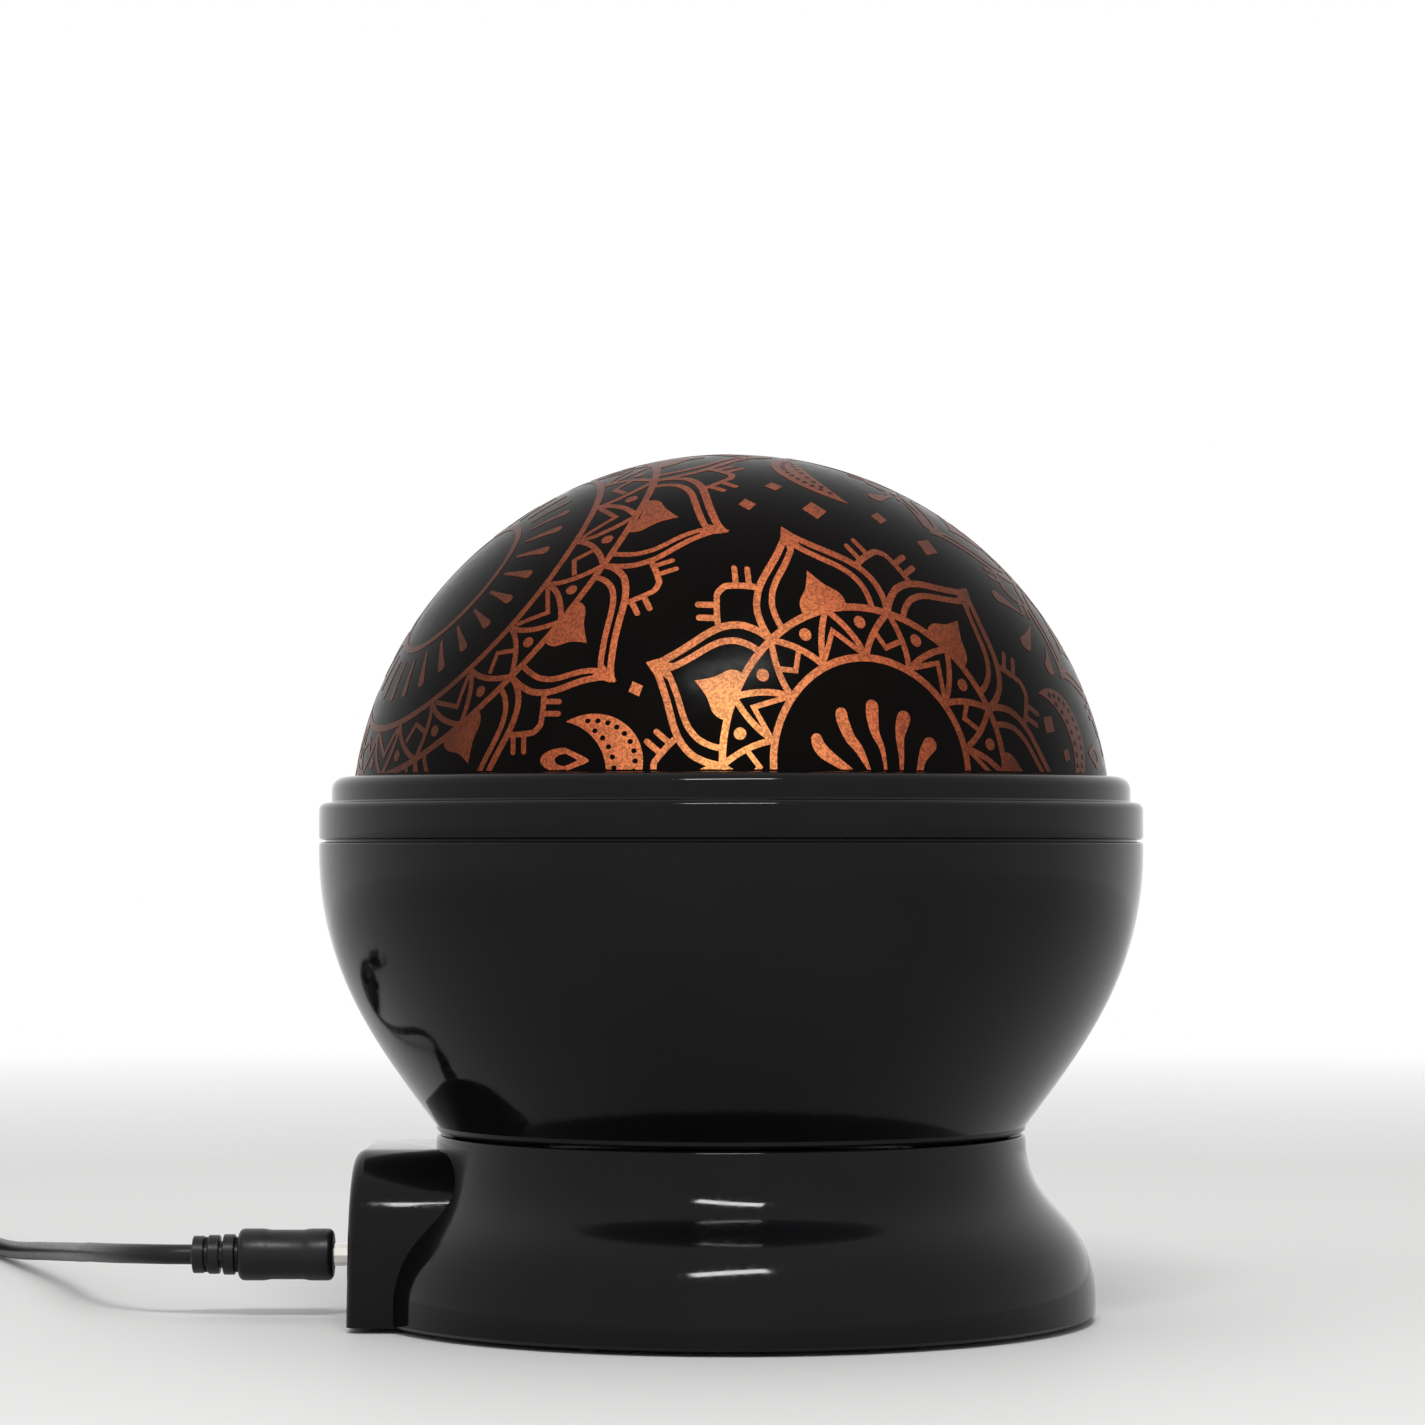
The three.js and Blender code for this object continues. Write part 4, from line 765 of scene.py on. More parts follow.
def makeBowl(plan):
    (footX, footZ), (rimX, rimZ), (below, above), wall = pick(plan, "foot rim floor wall")
    groove, seam, (bore, hub, hubTop), edge, fillet = pick(plan, "groove seam hub edge fillet")
    reach, ledgeTop, ledgeFoot, ledgeEnd = plan["ledge"]
    inner = rimX - wall
    side = curvePoints([(footX, footZ + plan["lip"]), *plan["pulls"], (rimX, rimZ)], 44)
    inside = [p for p in insetLine(side, wall) if plan["inside"][0] < p.y < plan["inside"][1]]
    outline = [(footX - edge, footZ), (footX, footZ + edge)] + side
    outline += arcPoints(rimX - groove, seam - groove, groove, 20, 90, 3)
    outline += [(inner, seam), (inner, ledgeTop), (inner - reach, ledgeTop), (inner - reach, ledgeFoot)]
    outline += [(inner, ledgeEnd)] + inside[::-1]
    outline += arcPoints(inside[0].x - fillet, above + fillet, fillet, -20, -90, 4)
    outline += [(hub, above), (hub, hubTop), (bore, hubTop), (bore, below), (footX - wall, below)]
    bowl = spinOutline("bowl_moulded", outline + [(footX - wall, footZ)], 160)
    holes = [(screwPlace(f"gear_screw_{n}"), below - overrun, above + overrun) for n in (1, 2, 3)]
    combine(bowl, rodsAt("pilot", basePlan["pilot"], holes))
    return dress(settle(bowl, 28), "turning_bowl", "glossBlack", "gloss_black", "bowl")


makeBowl(bowlPlan)

collarPlan = {
    "bottom": 71.8, "bandTop": 77.35, "band": 62, "upper": 60.1, "top": 81.2, "bandRound": 1.1,
    "topRound": 1.9, "bore": 57.55, "seat": 75.85, "seatInner": 54.75, "lip": (57.2, 59.5, 71.2),
    "rest": (61.1, 71.51), "foot": 0.7, "edge": 0.5, "nook": 0.25, "bevel": 0.3,
}


def makeCollar(plan):
    bottom, bandTop, band, upper, top, nook = pick(plan, "bottom bandTop band upper top nook")
    bore, seat, seatInner, bevel, (lipInner, lipOuter, lipTop) = pick(plan, "bore seat seatInner bevel lip")
    rest = plan["rest"]
    outline = [(band - plan["foot"], bottom)] + footCorner(band, bottom, plan["edge"], 3)
    outline += topCorner(band, bandTop, plan["bandRound"], 6)
    outline += [(upper + nook, bandTop), (upper, bandTop + nook)]
    outline += topCorner(upper, top, plan["topRound"], 8) + [(bore + bevel, top), (bore, top - bevel)]
    outline += [(bore, seat), (seatInner, seat), (seatInner, bottom)]
    outline += [(lipInner, bottom), (lipInner, lipTop), (lipOuter, lipTop), (lipOuter, rest[1]), rest]
    outline += [(rest[0], bottom)]
    collar = spinOutline("collar_moulded", outline, 160)
    return dress(settle(collar, 28), "turning_bowl", "glossBlack", "gloss_black", "collar_ring")


makeCollar(collarPlan)
print("bowl and collar made")


# The dome and its print.
domePlan = {
    "radius": 57.24, "centre": 72.7, "seat": 76.1, "wall": 1.8, "printLift": 0.05, "printDepth": 0.11,
    "printFloor": 81.5, "dotLift": 0.08, "drop": (1.25, 0.2),
}


def makeDome(plan):
    clearChoice()
    bpy.ops.mesh.primitive_uv_sphere_add(segments=144, ring_count=96, radius=plan["radius"] * mm,
                                         location=(0, 0, plan["centre"] * mm))
    dome = named("dome_printed")
    bakeMoves()
    edit(dome)
    cutBelow(plan["seat"])
    leave()
    applyModifier(dome, "SOLIDIFY", thickness=plan["wall"] * mm, offset=-1)
    return dress(settle(dome, 50), "dome", "domeBlack", "printed_dome", "projection_dome")


makeDome(domePlan)


# The print is drawn as flat shapes in degrees round a point of the dome, and wrapped on it at the end.
def addStrip(sheet, left, right, cuts=1):
    start = len(sheet["points"])
    for a, b in zip(left, right):
        sheet["points"] += [a.lerp(b, k / cuts) for k in range(cuts + 1)]
    for i in range(len(left) - 1):
        for k in range(cuts):
            here = start + i * (cuts + 1) + k
            sheet["faces"].append((here, here + 1, here + cuts + 2, here + cuts + 1))


strokePlan = {"step": 1.0, "spread": 1.5, "leastTurn": 0.4}


def addStroke(sheet, line, width):
    line = resample(line, strokePlan["step"])
    left, right = [], []
    for i, p in enumerate(line):
        before, after = line[max(i - 1, 0)], line[min(i + 1, len(line) - 1)]
        along = (after - before).normalized()
        spread = 1.0
        if 0 < i < len(line) - 1:
            turn = max(strokePlan["leastTurn"], along.dot((after - p).normalized()))
            spread = min(strokePlan["spread"], 1 / turn)
        side = Vector((-along.y, along.x)) * width / 2 * spread
        left.append(p + side)
        right.append(p - side)
    addStrip(sheet, left, right)


def addPatch(sheet, outline, rings=3):
    outline = [Vector(p) for p in outline]
    centre = sum(outline, Vector((0, 0))) / len(outline)
    start, count = len(sheet["points"]), len(outline)
    for ring in range(rings):
        sheet["points"] += [centre + (p - centre) * (1 - ring / rings) for p in outline]
    sheet["points"].append(centre)
    for ring in range(rings - 1):
        for k in range(count):
            a, b = start + ring * count + k, start + ring * count + (k + 1) % count
            sheet["faces"].append((a, b, b + count, a + count))
    last = start + (rings - 1) * count
    sheet["faces"] += [(last + k, last + (k + 1) % count, start + rings * count) for k in range(count)]


def addDash(sheet, a, b, width):
    turn = math.degrees(math.atan2((b - a).y, (b - a).x))
    addPatch(sheet, [b + polar(width / 2, turn - 90 + 30 * k) for k in range(7)]
             + [a + polar(width / 2, turn + 90 + 30 * k) for k in range(7)], 1)


def resample(line, step):
    line = [Vector(p) for p in line]
    result = [line[0]]
    for a, b in zip(line, line[1:]):
        cuts = max(1, math.ceil((b - a).length / step))
        result += [a.lerp(b, (k + 1) / cuts) for k in range(cuts)]
    return result


def polar(radius, bearing):
    return Vector((radius * math.cos(math.radians(bearing)), radius * math.sin(math.radians(bearing))))


def smoothLine(points, steps=5):
    return [Vector((p.x, p.y)) for p in throughPoints([(*p, 0) for p in points], steps)]


def ringLine(centre, radius, step=3):
    return [centre + polar(radius, k * step) for k in range(round(360 / step) + 1)]


# Shares of height and half width, from foot to tip, of a petal and of the leaf inside it.
petalShares = [(0, 1), (0.1, 1.04), (0.2, 1.05), (0.31, 1.03), (0.41, 0.96), (0.5, 0.86), (0.59, 0.71),
               (0.67, 0.545), (0.75, 0.38), (0.83, 0.23), (0.915, 0.085), (1, 0)]
leafShares = [(0, 0.92), (0.12, 1.0), (0.26, 1.0), (0.4, 0.88), (0.52, 0.64), (0.62, 0.44), (0.72, 0.31),
              (0.84, 0.17), (1, 0)]


def leafOutline(axis, low, high, halfWidth, shares, lean=0.0):
    side = smoothLine(shares, 3)
    points = []
    for s, w in [(p.x, p.y) for p in side] + [(p.x, -p.y) for p in side[-2::-1]]:
        points.append(polar(low + (high - low) * s, axis) + polar(halfWidth * w + lean * s * s, axis - 90))
    return points


# A bent drop, from points with half widths that start at its round head.
def drawCurl(sheet, points):
    line = throughPoints(points, 4)
    head, left, right = line[0], [], []
    along = (line[1] - head).xy.normalized()
    side = Vector((-along.y, along.x))
    for turn in (80, 60, 40, 20):
        bow = head.xy - along * head.z * math.sin(math.radians(turn))
        left.append(bow + side * head.z * math.cos(math.radians(turn)))
        right.append(bow - side * head.z * math.cos(math.radians(turn)))
    for before, p, after in zip(line[:1] + line, line, line[1:] + line[-1:]):
        along = (after - before).xy.normalized()
        side = Vector((-along.y, along.x)) * p.z
        left.append(p.xy + side)
        right.append(p.xy - side)
    addStrip(sheet, left, right, 2)


dropPlan = {"steps": 12, "flare": 1.6, "narrow": 0.28, "headTurn": 22.5}


# A long drop with its round end outwards.
def dropOutline(start, end, wide, narrow=dropPlan["narrow"]):
    along = end - start
    side = Vector((-along.y, along.x)).normalized()
    left, right = [], []
    for k in range(dropPlan["steps"] + 1):
        share = k / dropPlan["steps"]
        width = narrow + (wide - narrow) * share ** dropPlan["flare"]
        middle = start + along * share * (1 - wide / along.length)
        left.append(middle + side * width)
        right.append(middle - side * width)
    turn = math.degrees(math.atan2(along.y, along.x))
    bearings = [turn + 90 - dropPlan["headTurn"] * k for k in range(1, 8)]
    head = [end - along.normalized() * wide + polar(wide, bearing) for bearing in bearings]
    return left + head + right[::-1]


# Places and half widths along each ray, from its round head to its foot behind the collar.
frontRays = [
    [(-8.53, 3.79, 0.78), (-8.3, 2.88, 0.88), (-7.59, 1.89, 0.9), (-5.95, 0.6, 0.7), (-3.85, -0.83, 0.43)],
    [(-4.59, 7.24, 0.83), (-4.5, 6.2, 0.86), (-3.7, 3.93, 0.76), (-2.45, 2.19, 0.62), (-1.06, -0.83, 0.19)],
    [(0.15, 8.23, 0.92), (0.0, 6.9, 0.9), (0.15, 4.63, 0.63), (1.02, 2.35, 0.38), (1.36, -0.82, 0.21)],
    [(4.87, 6.73, 1.02), (4.37, 5.61, 0.94), (3.92, 3.93, 0.64), (3.9, 1.42, 0.4), (3.76, -0.78, 0.27)],
    [(8.63, 3.1, 1.1), (7.81, 2.09, 0.9), (7.1, 0.79, 0.6), (6.66, -0.72, 0.49)],
]
petalRosette = {
    "first": -1.7, "step": 360 / 7, "inner": 14.9, "outer": 22.0, "tip": 34.6, "lean": 0,
    "stretch": 0.0052, "arch": 1.2, "curls": frontRays,
}
rayRosette = {
    "step": 40, "inner": 24.4, "outer": 31.9, "arch": 1.7, "core": 11.9,
    "rays": {"count": 25, "first": 24.8, "reach": (14.0, 20.2)},
}
rosettePlans = [
    {**petalRosette, "at": (21.1, 9.4)},
    {**rayRosette, "at": (-68.0, 40.0), "first": 37.0, "tip": 45.4, "lean": 4, "stretch": 0.0035},
    {**rayRosette, "at": (120.0, 40.0), "first": 184.0, "tip": 46.4, "lean": 0, "stretch": 0},
    {**petalRosette, "at": (-153.0, 9.4)},
]
linePlan = {"broad": 1.0, "thin": 0.88, "fine": 0.72, "dot": 0.88}
# The marks in the ring's cells and the dots between them lie at shares of a cell's width and height.
cellPlan = {
    "arch": 9, "dot": (0.5, 0.7),
    "marks": [[(0.43, 0.12), (0.03, 0.58), (-0.41, 0.1)], [(0.27, 0.56), (0.05, 0.27), (-0.24, 0.52)]],
}
petalPlan = {
    "footGap": 0.75, "tipGap": 2.0, "sideGap": 2.3, "ray": 0.78,
    "spikeLength": 3.0, "spikeTip": 0.7, "spikeHalf": 1.2, "spikeLean": 0.92,
    "spikeShares": [(0, 1), (0.35, 0.72), (0.7, 0.34), (1, 0)],
    "leafFoot": 0.5, "leafHeight": 0.47, "leafHalf": 0.37, "leafLean": 0.25,
    "fanFoot": 0.42, "fanLean": 0.5,
}


def drawRosette(sheet, plan):
    inner, outer, tip, step, lean = pick(plan, "inner outer tip step lean")
    broad, thin, size = linePlan["broad"], linePlan["thin"], petalPlan
    centre, cell, depth = Vector((0, 0)), step / 2, outer - inner
    addStroke(sheet, ringLine(centre, inner), broad)
    addStroke(sheet, ringLine(centre, outer), broad)
    for ray in plan.get("curls", []):
        drawCurl(sheet, ray)
    if "rays" in plan:
        rays = plan["rays"]
        addStroke(sheet, ringLine(centre, plan["core"], 5), broad)
        for k in range(rays["count"]):
            bearing = rays["first"] + 360 / rays["count"] * k
            start, end = [polar(reach, bearing) for reach in rays["reach"]]
            addPatch(sheet, dropOutline(start, end, size["ray"]), 2)
    heights = [n / cellPlan["arch"] for n in range(cellPlan["arch"] + 1)]
    side = [(0.5 * (1 - v ** plan["arch"]), v) for v in heights]
    archLine = [(-u, v) for u, v in side] + side[-2::-1]
    for k in range(round(720 / step)):
        place = lambda u, v: polar(inner + depth * v, plan["first"] + cell * (k + u))
        addStroke(sheet, [place(u, v) for u, v in archLine], thin)
        addPatch(sheet, ringLine(place(*cellPlan["dot"]), linePlan["dot"], 30)[:-1], 1)
        addStroke(sheet, [place(u, v) for u, v in cellPlan["marks"][k % 2]], linePlan["fine"])
    foot, half = outer * math.cos(math.radians(cell)), outer * math.sin(math.radians(cell))
    for k in range(round(360 / step)):
        axis = plan["first"] + step * k
        inside = leafOutline(axis, foot + size["footGap"], tip - size["tipGap"], half - size["sideGap"],
                             petalShares, lean)
        spike = leafOutline(axis, tip - size["spikeLength"], tip + size["spikeTip"], size["spikeHalf"],
                            size["spikeShares"])
        leaf = leafOutline(axis, outer - size["leafFoot"], outer + (tip - outer) * size["leafHeight"],
                           half * size["leafHalf"], leafShares, lean * size["leafLean"])
        addStroke(sheet, leafOutline(axis, foot, tip, half, petalShares, lean), broad)
        addStroke(sheet, inside, thin)
        addPatch(sheet, [p + polar(lean * size["spikeLean"], axis - 90) for p in spike], 2)
        addPatch(sheet, leaf, 4)
        drawFan(sheet, axis + cell, outer + (tip - outer) * size["fanFoot"], thin, lean * size["fanLean"])


fanPlan = {
    "half": [(0.75, 4.3), (1.6, 3.7), (2.5, 2.9), (3.4, 2.0), (4.1, 1.2)],
    "dashes": [(3.5, 1.9), (2.2, 3.3)], "dashLength": 1.85, "dashWidth": 0.85,
}


# Rounded arch between two petals, with a pair of dashes on each of its shoulders.
def drawFan(sheet, bearing, foot, width, shift):
    out, across = polar(1, bearing), polar(1, bearing - 90)
    origin = polar(foot, bearing) + across * shift
    half, length = fanPlan["half"], fanPlan["dashLength"]
    arch = [(-u, v) for u, v in half[::-1]] + half
    addStroke(sheet, smoothLine([origin + across * u + out * v for u, v in arch], 3), width)
    for side in (-1, 1):
        for u, v in fanPlan["dashes"]:
            start = origin + across * side * u + out * v
            addDash(sheet, start, start + out * length + across * side * length, fanPlan["dashWidth"])


moonPlan = {
    "steps": 36, "dots": 13, "dotReach": 0.86, "dotSpan": 0.82, "innerDots": range(9, 30, 3),
    "innerShare": 0.22, "dotRadius": 0.42,
}


# Half moon, its horns at the open angle to each side of its bearing, its belly thick times its radius.
def drawMoon(sheet, moon):
    radius, bearing, spread = moon["radius"], moon["bearing"], math.radians(moon["open"])
    steps, dots = moonPlan["steps"], moonPlan["dots"]
    out = polar(1, bearing)
    centre = Vector(moon["chord"]) - out * radius * math.cos(spread)
    hornOut, hornSide, belly = math.cos(spread), math.sin(spread), 1 - moon["thick"]
    hollow = (belly ** 2 - hornOut ** 2 - hornSide ** 2) / (2 * (belly - hornOut))
    hollowSpread = math.degrees(math.atan2(hornSide, hornOut - hollow))
    hollowCentre, hollowRadius = centre + out * hollow * radius, radius * abs(belly - hollow)
    arc = [2 * k / steps - 1 for k in range(steps + 1)]
    outer = [centre + polar(radius, bearing + moon["open"] * t) for t in arc]
    inner = [hollowCentre + polar(hollowRadius, bearing + hollowSpread * t) for t in arc]
    addStrip(sheet, inner, outer, 5)
    spread = [moon["open"] * (2 * (k + 0.5) / dots - 1) * moonPlan["dotSpan"] for k in range(dots)]
    spots = [centre + polar(radius * moonPlan["dotReach"], bearing + turn) for turn in spread]
    return spots + [inner[k].lerp(outer[k], moonPlan["innerShare"]) for k in moonPlan["innerDots"]]


eyePlan = {
    "steps": 32, "taper": 0.62, "sharp": 0.8, "holeLength": 0.46, "holeShift": 0.06, "holeHeight": 0.5,
}


# Almond with an almond hole, its point towards the bearing.
def drawEye(sheet, eye):
    centre = Vector(eye["at"])
    out, side = polar(eye["length"] / 2, eye["bearing"]), polar(eye["height"] / 2, eye["bearing"] + 90)
    rim, hole = [], []
    for k in range(eyePlan["steps"] + 1):
        t = 2 * math.pi * k / eyePlan["steps"]
        along = math.cos(t)
        over = math.sin(t) * (1 - eyePlan["taper"] * max(0, along) ** eyePlan["sharp"])
        rim.append(centre + out * along + side * over)
        hole.append(centre + out * (along * eyePlan["holeLength"] + eyePlan["holeShift"])
                    + side * over * eyePlan["holeHeight"])
    addStrip(sheet, hole, rim, 2)


diamondPlan = {"sides": (1.0, 1.2), "step": 0.8}


def drawDiamond(sheet, place, size, bearing):
    centre, sides = Vector(place), diamondPlan["sides"]
    corners = [centre + polar(size * sides[k % 2], bearing + 90 * k) for k in range(4)]
    addPatch(sheet, resample(corners + corners[:1], diamondPlan["step"])[:-1], 2)


def mirrored(group, at):
    flip = lambda p: (-p[0], p[1])
    return {
        "at": at,
        "moons": [{**m, "chord": flip(m["chord"]), "bearing": 180 - m["bearing"]} for m in group["moons"]],
        "eyes": [{**e, "at": flip(e["at"]), "bearing": 180 - e["bearing"]} for e in group["eyes"]],
        "drops": [tuple(flip(p) for p in d) for d in group["drops"]],
        "diamonds": [(-x, y, s, -t) for x, y, s, t in group["diamonds"]],
    }


# What lies between the rosettes, each group in degrees round its own point of the dome.
frontGroup = {
    "at": (20.4, 9.5),
    "moons": [{"chord": (-42.0, 2.3), "radius": 7.9, "bearing": 10, "open": 103, "thick": 0.7}],
    "eyes": [{"at": (-44.0, 3.8), "length": 7.6, "height": 3.9, "bearing": -10}],
    "drops": [],
    "diamonds": [(-10.1, 47.1, 1.4, -6), (0.6, 45.1, 2.0, -8), (12.1, 44.5, 1.4, -14),
                 (19.0, 38.7, 1.95, -28), (-32.6, 13.4, 1.1, 15), (34.6, 8.7, 1.6, -35),
                 (38.8, 4.4, 1.1, -28)],
}
sideGroup = {
    "at": (75, 35),
    "moons": [{"chord": (-14.6, 35.7), "radius": 12, "bearing": 136, "open": 68, "thick": 0.42},
              {"chord": (-16.6, -20.5), "radius": 7.9, "bearing": 10, "open": 100, "thick": 0.62}],
    "eyes": [{"at": (-2.0, -23.5), "length": 7.0, "height": 3.8, "bearing": 170}],
    "drops": [((-8.8, -0.6), (-14.0, 4.0)), ((-9.0, -2.6), (-15.4, -5.6)), ((-7.8, -6.4), (-11, -10.4)),
              ((-8.6, 26.4), (-15.4, 27.2)), ((-8.6, 24.4), (-13.0, 17.2))],
    "diamonds": [(-26.6, 38.1, 1.3, -50)],
}
backGroup = {
    "at": (-112, 32),
    "moons": [{"chord": (0, -21), "radius": 7, "bearing": 90, "open": 100, "thick": 0.6}],
    "eyes": [],
    "drops": [],
    "diamonds": [(-7, -12, 1.3, 20), (8, -11, 1.3, 60)],
}
groups = [frontGroup, sideGroup, mirrored(frontGroup, (-154.2, 9.5)), mirrored(sideGroup, (160, 35)),
          backGroup]


def wrapOnDome(sheet, azimuth, elevation, stretch=0.0):
    a, e = math.radians(azimuth), math.radians(elevation)
    outward = Vector((math.cos(e) * math.sin(a), -math.cos(e) * math.cos(a), math.sin(e)))
    right = Vector((math.cos(a), math.sin(a), 0))
    rise = right.cross(outward)
    rise = rise if rise.z > 0 else -rise
    places = []
    for p in sheet["points"]:
        x, y = p.x, p.y * (1 + stretch * max(0, p.y))
        far = math.radians(math.hypot(x, y))
        direction = outward
        if far > 1e-9:
            direction = outward * math.cos(far) + (right * x + rise * y).normalized() * math.sin(far)
        places.append(direction)
    return places


# A sheet lies on the dome, loses what the collar hides, and gets its thickness inwards.
def sheetPiece(name, parts, lift, depth, floorHeight):
    places, faces = [], []
    centre = Vector((0, 0, domePlan["centre"])) * mm
    radius = (domePlan["radius"] + lift) * mm
    for sheet, (azimuth, elevation), stretch in parts:
        start = len(places)
        places += [centre + d * radius for d in wrapOnDome(sheet, azimuth, elevation, stretch)]
        faces += [tuple(start + k for k in face) for face in sheet["faces"]]
    mesh = bpy.data.meshes.new(name)
    mesh.from_pydata([tuple(p) for p in places], [], faces)
    piece = bpy.data.objects.new(name, mesh)
    bpy.context.collection.objects.link(piece)
    edit(piece)
    weldAll()
    cutBelow(floorHeight)
    leave()
    choose(piece, "FACE", lambda face: face.normal.dot(face.calc_center_median() - centre) < 0)
    bpy.ops.mesh.flip_normals()
    leave()
    applyModifier(piece, "SOLIDIFY", thickness=depth * mm, offset=-1)
    return settle(piece, 40)


def makePrint(plan):
    parts, pricks = [], []
    for rosette in rosettePlans:
        sheet = {"points": [], "faces": []}
        drawRosette(sheet, rosette)
        parts.append((sheet, rosette["at"], rosette["stretch"]))
    for group in groups:
        sheet, dark = {"points": [], "faces": []}, {"points": [], "faces": []}
        for moon in group["moons"]:
            for spot in drawMoon(sheet, moon):
                addPatch(dark, ringLine(spot, moonPlan["dotRadius"], 45)[:-1], 1)
        for eye in group["eyes"]:
            drawEye(sheet, eye)
        for start, end in group["drops"]:
            addPatch(sheet, dropOutline(Vector(start), Vector(end), *plan["drop"]), 2)
        for x, y, size, bearing in group["diamonds"]:
            drawDiamond(sheet, (x, y), size, bearing)
        parts.append((sheet, group["at"], 0))
        pricks.append((dark, group["at"], 0))
    glowing = sheetPiece("dome_print", parts, plan["printLift"], plan["printDepth"], plan["printFloor"])
    dress(glowing, "dome", "glow", "printed_dome")
    dots = sheetPiece("dome_print_dots", pricks, plan["dotLift"], plan["printDepth"], plan["printFloor"])
    dress(dots, "dome", "domeBlack", "printed_dome")
    return glowing


domePrint = makePrint(domePlan)
print("dome made,", len(domePrint.data.polygons), "faces in the print")


# The control panel and its keys.
keyPlan = {
    "names": ("light", "colour", "turn"), "radius": 3.6, "flange": 4.2, "flangeThickness": 0.8,
    "round": 0.55, "dish": 0.35, "mark": 0.3, "markSink": 0.08,
    "dishShares": [(0.62, 0.45), (0.35, 0.85), (0, 1)],
}
panelPlan = {
    "corner": 6.6, "clearance": 0.25, "socket": 2.95, "rim": 0.35, "rimHeight": 0.3, "rimSink": 0.5,
    "soft": 0.12,
}


def makePanel(plan):
    low, high = boxOf("control_panel")
    panel = addBlock("control_panel_plate", low, high)
    bevelAlong(panel, 0, plan["corner"], 10)

    def cut(radius, place):
        ends = (low.x - 2 * overrun, *place), (high.x + 2 * overrun, *place)
        combine(panel, addRod("hole", radius, *ends, 64))

    for name in keyPlan["names"]:
        spot = middleOf("button_" + name).yz
        hole = keyPlan["radius"] + plan["clearance"]
        combine(panel, addRod("rim", hole + plan["rim"], (low.x - plan["rimHeight"], *spot),
                              (low.x + plan["rimSink"], *spot), 64), "UNION")
        cut(hole, spot)
    cut(plan["socket"], middleOf("power_socket").yz)
    softenEdges(panel, plan["soft"], 50)
    return dress(settle(panel), "base", "satinBlack", "satin_black", "control_panel")


# Raised marks that tell the keys apart by touch, as reach, bearings and radius.
keyMarks = {
    "light": (0, [0], 0.9), "colour": (1.2, [90, 210, 330], 0.45), "turn": (1.3, range(0, 300, 15), 0.3),
}


def makeKey(name, plan):
    low, high = boxOf("button_" + name)
    length, place = high.x - low.x, middleOf("button_" + name)
    flange, lift, radius, corner, dish = pick(plan, "flange flangeThickness radius round dish")
    outline = [(0, 0), (flange, 0), (flange, lift), (radius, lift)] + topCorner(radius, length, corner, 5)
    outline += [(radius * across, length - dish * down) for across, down in plan["dishShares"]]
    key = spinOutline("key_cap_" + name, outline, 64, closed=False)
    turnTo(key, (-1, 0, 0), (high.x, place.y, place.z))
    reach, bearings, size = keyMarks[name]
    for bearing in bearings:
        turn = math.radians(bearing)
        spot = (place.y + reach * math.cos(turn), place.z + reach * math.sin(turn))
        combine(key, addRod("mark", size, (low.x + plan["markSink"], *spot),
                            (low.x + dish + plan["mark"], *spot), 24), "UNION")
    key.data.validate()
    return dress(settle(key), "key_" + name, "satinBlack", "satin_black", "button_" + name)


makePanel(panelPlan)
for keyName in keyPlan["names"]:
    makeKey(keyName, keyPlan)
print("panel and keys made")


# The lamp tray and lamps, their outlines as radius and drop below the tray's rim, or height.
trayPlan = {
    "outer": 59.55, "rim": (69.38, 71.13), "edge": 0.3, "wall": 1.6,
    "dish": [(56.55, 0), (49.05, 3.75), (28.2, 7.5), (13.2, 7.5)],
    "lip": [(13.2, 6.5), (13.0, 6.3), (11.8, 6.3), (11.6, 6.5), (11.6, 9.1)],
}


def makeTray(plan):
    outer, edge, (low, high) = plan["outer"], plan["edge"], plan["rim"]
    dish = curvePoints([(radius, high - drop) for radius, drop in plan["dish"]], 24)
    under = [Vector((p.x, p.y - plan["wall"])) for p in dish]
    outline = [(outer, low), (outer, high - edge), (outer - edge, high)] + dish
    outline += [(radius, high - drop) for radius, drop in plan["lip"]]
    outline += under[::-1][1:-1] + [(plan["dish"][0][0], low)]
    tray = spinOutline("lamp_tray_dish", outline, 128)
    return dress(settle(tray), "turning_bowl", "white", "white_plastic", "lamp_tray")


lampPlan = {
    "foot": [(0, 0), (2.9, 0), (2.9, 0.75), (2.75, 0.9), (2.4, 0.95)], "lens": 2.4, "height": 3.8,
    "reach": 5.4,
}


def makeLamps(plan):
    bottom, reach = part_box("lamp_warm")[0].z / mm, plan["reach"]
    outline = plan["foot"] + arcPoints(0, plan["height"], plan["lens"], 0, 90, 10)
    for n, name in enumerate(lampLooks):
        lamp = spinOutline("lamp_lens_" + name, outline, 48, closed=False)
        angle = math.radians(90 * n)
        turnTo(lamp, (0, 0, 1), (reach * math.cos(angle), reach * math.sin(angle), bottom))
        dress(settle(lamp), "base", name, "lamp_" + name, "lamp_" + name)


makeTray(trayPlan)
makeLamps(lampPlan)

# The feet.
footPlan = {"radius": 4.5, "edge": 0.5, "height": 1.6}


def makeFeet(plan):
    radius, edge, height = pick(plan, "radius edge height")
    outline = [(0, 0)] + footCorner(radius, 0, edge, 4) + [(radius, height), (0, height)]
    for n in range(1, 5):
        low, high = boxOf(f"foot_{n}")
        pad = spinOutline(f"foot_pad_{n}", outline, 48, closed=False)
        turnTo(pad, (0, 0, 1), ((low.x + high.x) / 2, (low.y + high.y) / 2, 0))
        dress(settle(pad), "base", "rubber", "rubber_black", f"foot_{n}")


makeFeet(footPlan)
print("tray, lamps and feet made")


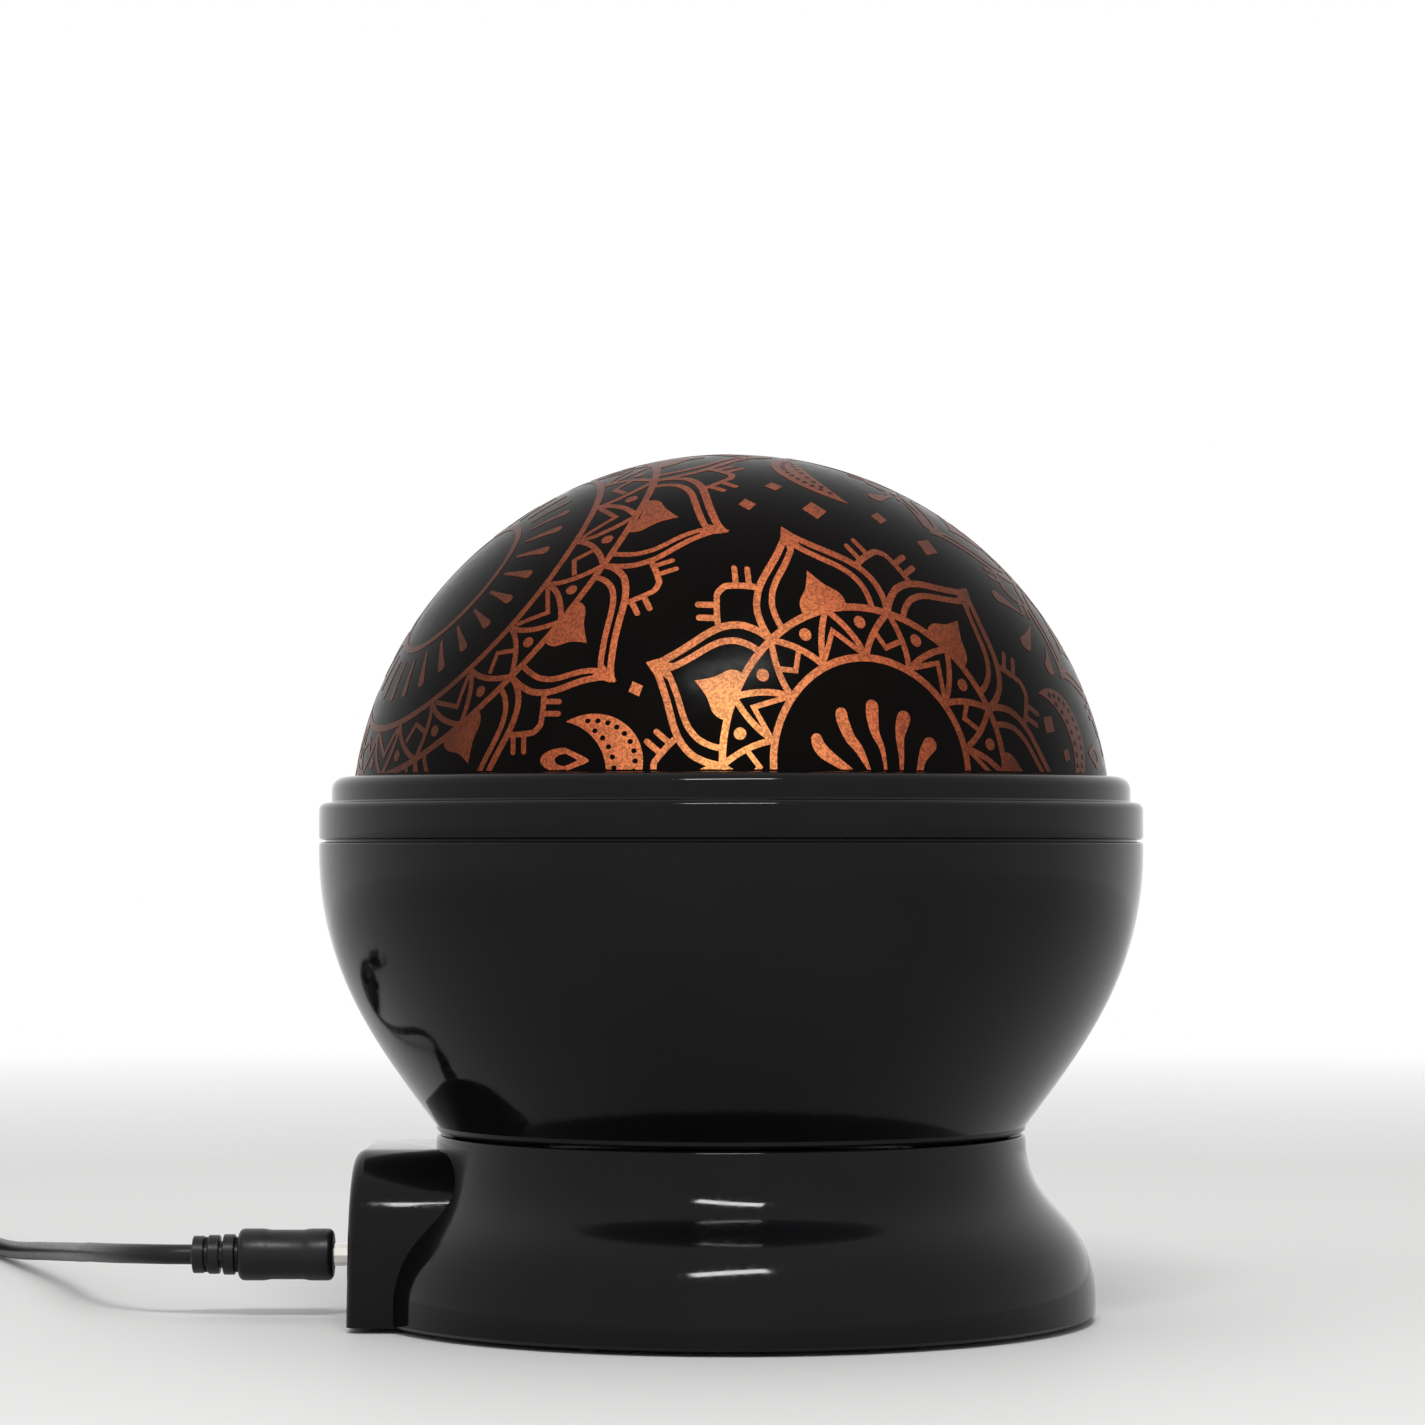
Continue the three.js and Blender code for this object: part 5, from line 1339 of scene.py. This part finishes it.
# Pieces kept from the frame.
keptFinishes = {
    "bottom_cover": "satinBlack", "battery_door": "satinBlack", "power_socket": "satinBlack",
    "control_board": "board", "lamp_board": "board", "lamp_post": "white", "ring_gear": "nylon",
    "idler_gear": "nylon", "motor_pinion": "nylon", "bearing_bush": "nylon", "thrust_washer": "nylon",
    "plug_barrel": "nickel",
}


def keptFinish(name):
    for start, finish in (("battery_cell", "cell"), ("contact_strip", "nickel"), ("switch", "satinBlack")):
        if name.startswith(start):
            return finish
    return keptFinishes.get(name, "steel")


def dressKept():
    stoodFor = {n for piece in bpy.context.scene.objects for n in piece.get("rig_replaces", [])}
    for name, node in nodes.items():
        if name in stoodFor:
            continue
        node.data.materials.clear()
        node.data.materials.append(finishes[keptFinish(name)])
        for face in node.data.polygons:
            face.use_smooth = True
        weld = node.modifiers.new("weld", "WELD")
        weld.merge_threshold = 1e-6
        split = node.modifiers.new("edges", "EDGE_SPLIT")
        split.split_angle = math.radians(32)


dressKept()


# Floor, backdrop and lamps.
stagePlan = {"floor": 3.0, "floorColour": (0.74, 0.735, 0.73), "near": 0.35, "far": 0.9, "ambient": 0.4}


def makeStage(plan):
    clearChoice()
    bpy.ops.mesh.primitive_plane_add(size=plan["floor"])
    floor = named("floor")
    material, tree, shader = newMaterial("pale floor", roughness=0.6, specular=0.2)
    shader.inputs["Base Color"].default_value = (*plan["floorColour"], 1)
    place = addNode(tree, "ShaderNodeTexCoord")
    length = addNode(tree, "ShaderNodeVectorMath", operation="LENGTH")
    link(place, "Object", length, 0)
    fade = addNode(tree, "ShaderNodeMapRange", From_Min=plan["near"], From_Max=plan["far"])
    link(length, "Value", fade, "Value")
    clear = addNode(tree, "ShaderNodeBsdfTransparent")
    mix = addNode(tree, "ShaderNodeMixShader")
    link(fade, "Result", mix, "Fac")
    link(shader, "BSDF", mix, 1)
    link(clear, "BSDF", mix, 2)
    tree.links.new(mix.outputs["Shader"], tree.nodes["Material Output"].inputs["Surface"])
    floor.data.materials.append(material)
    world = bpy.data.worlds.new("studio")
    bpy.context.scene.world = world
    world.use_nodes = True
    tree = world.node_tree
    path = addNode(tree, "ShaderNodeLightPath")
    seen = addNode(tree, "ShaderNodeMath", operation="MAXIMUM")
    seenToo = addNode(tree, "ShaderNodeMath", operation="MAXIMUM")
    link(path, "Is Camera Ray", seen, 0)
    link(path, "Is Glossy Ray", seen, 1)
    link(seen, "Value", seenToo, 0)
    link(path, "Is Transmission Ray", seenToo, 1)
    strength = addNode(tree, "ShaderNodeMapRange", To_Min=plan["ambient"], To_Max=1.0)
    link(seenToo, "Value", strength, "Value")
    sky = tree.nodes["Background"]
    sky.inputs["Color"].default_value = (1, 1, 1, 1)
    link(strength, "Result", sky, "Strength")


def addLamp(name, place, size, power, mirrored=False, roll=0, target=(0, 0, 0.06)):
    bpy.ops.object.light_add(type="AREA", location=place)
    lamp = named(name)
    lamp.data.shape = "RECTANGLE"
    lamp.data.size, lamp.data.size_y = size
    lamp.data.energy = power
    lamp.visible_glossy = mirrored
    aim = (Vector(target) - Vector(place)).to_track_quat("-Z", "Y")
    lamp.rotation_euler = (aim @ Quaternion((0, 0, 1), math.radians(roll))).to_euler()


makeStage(stagePlan)
addLamp("front", (-0.01, -0.72, 0.86), (0.40, 0.085), 5.6, mirrored=True, roll=16)
addLamp("left", (-1.7, -1.5, 1.5), (2.4, 2.0), 13)
addLamp("right", (1.8, -1.2, 1.0), (2.4, 2.0), 8)
addLamp("top", (0.1, 0.7, 1.8), (2.0, 2.0), 10)
bpy.context.scene.view_settings.view_transform = "Standard"
print("stage lit")
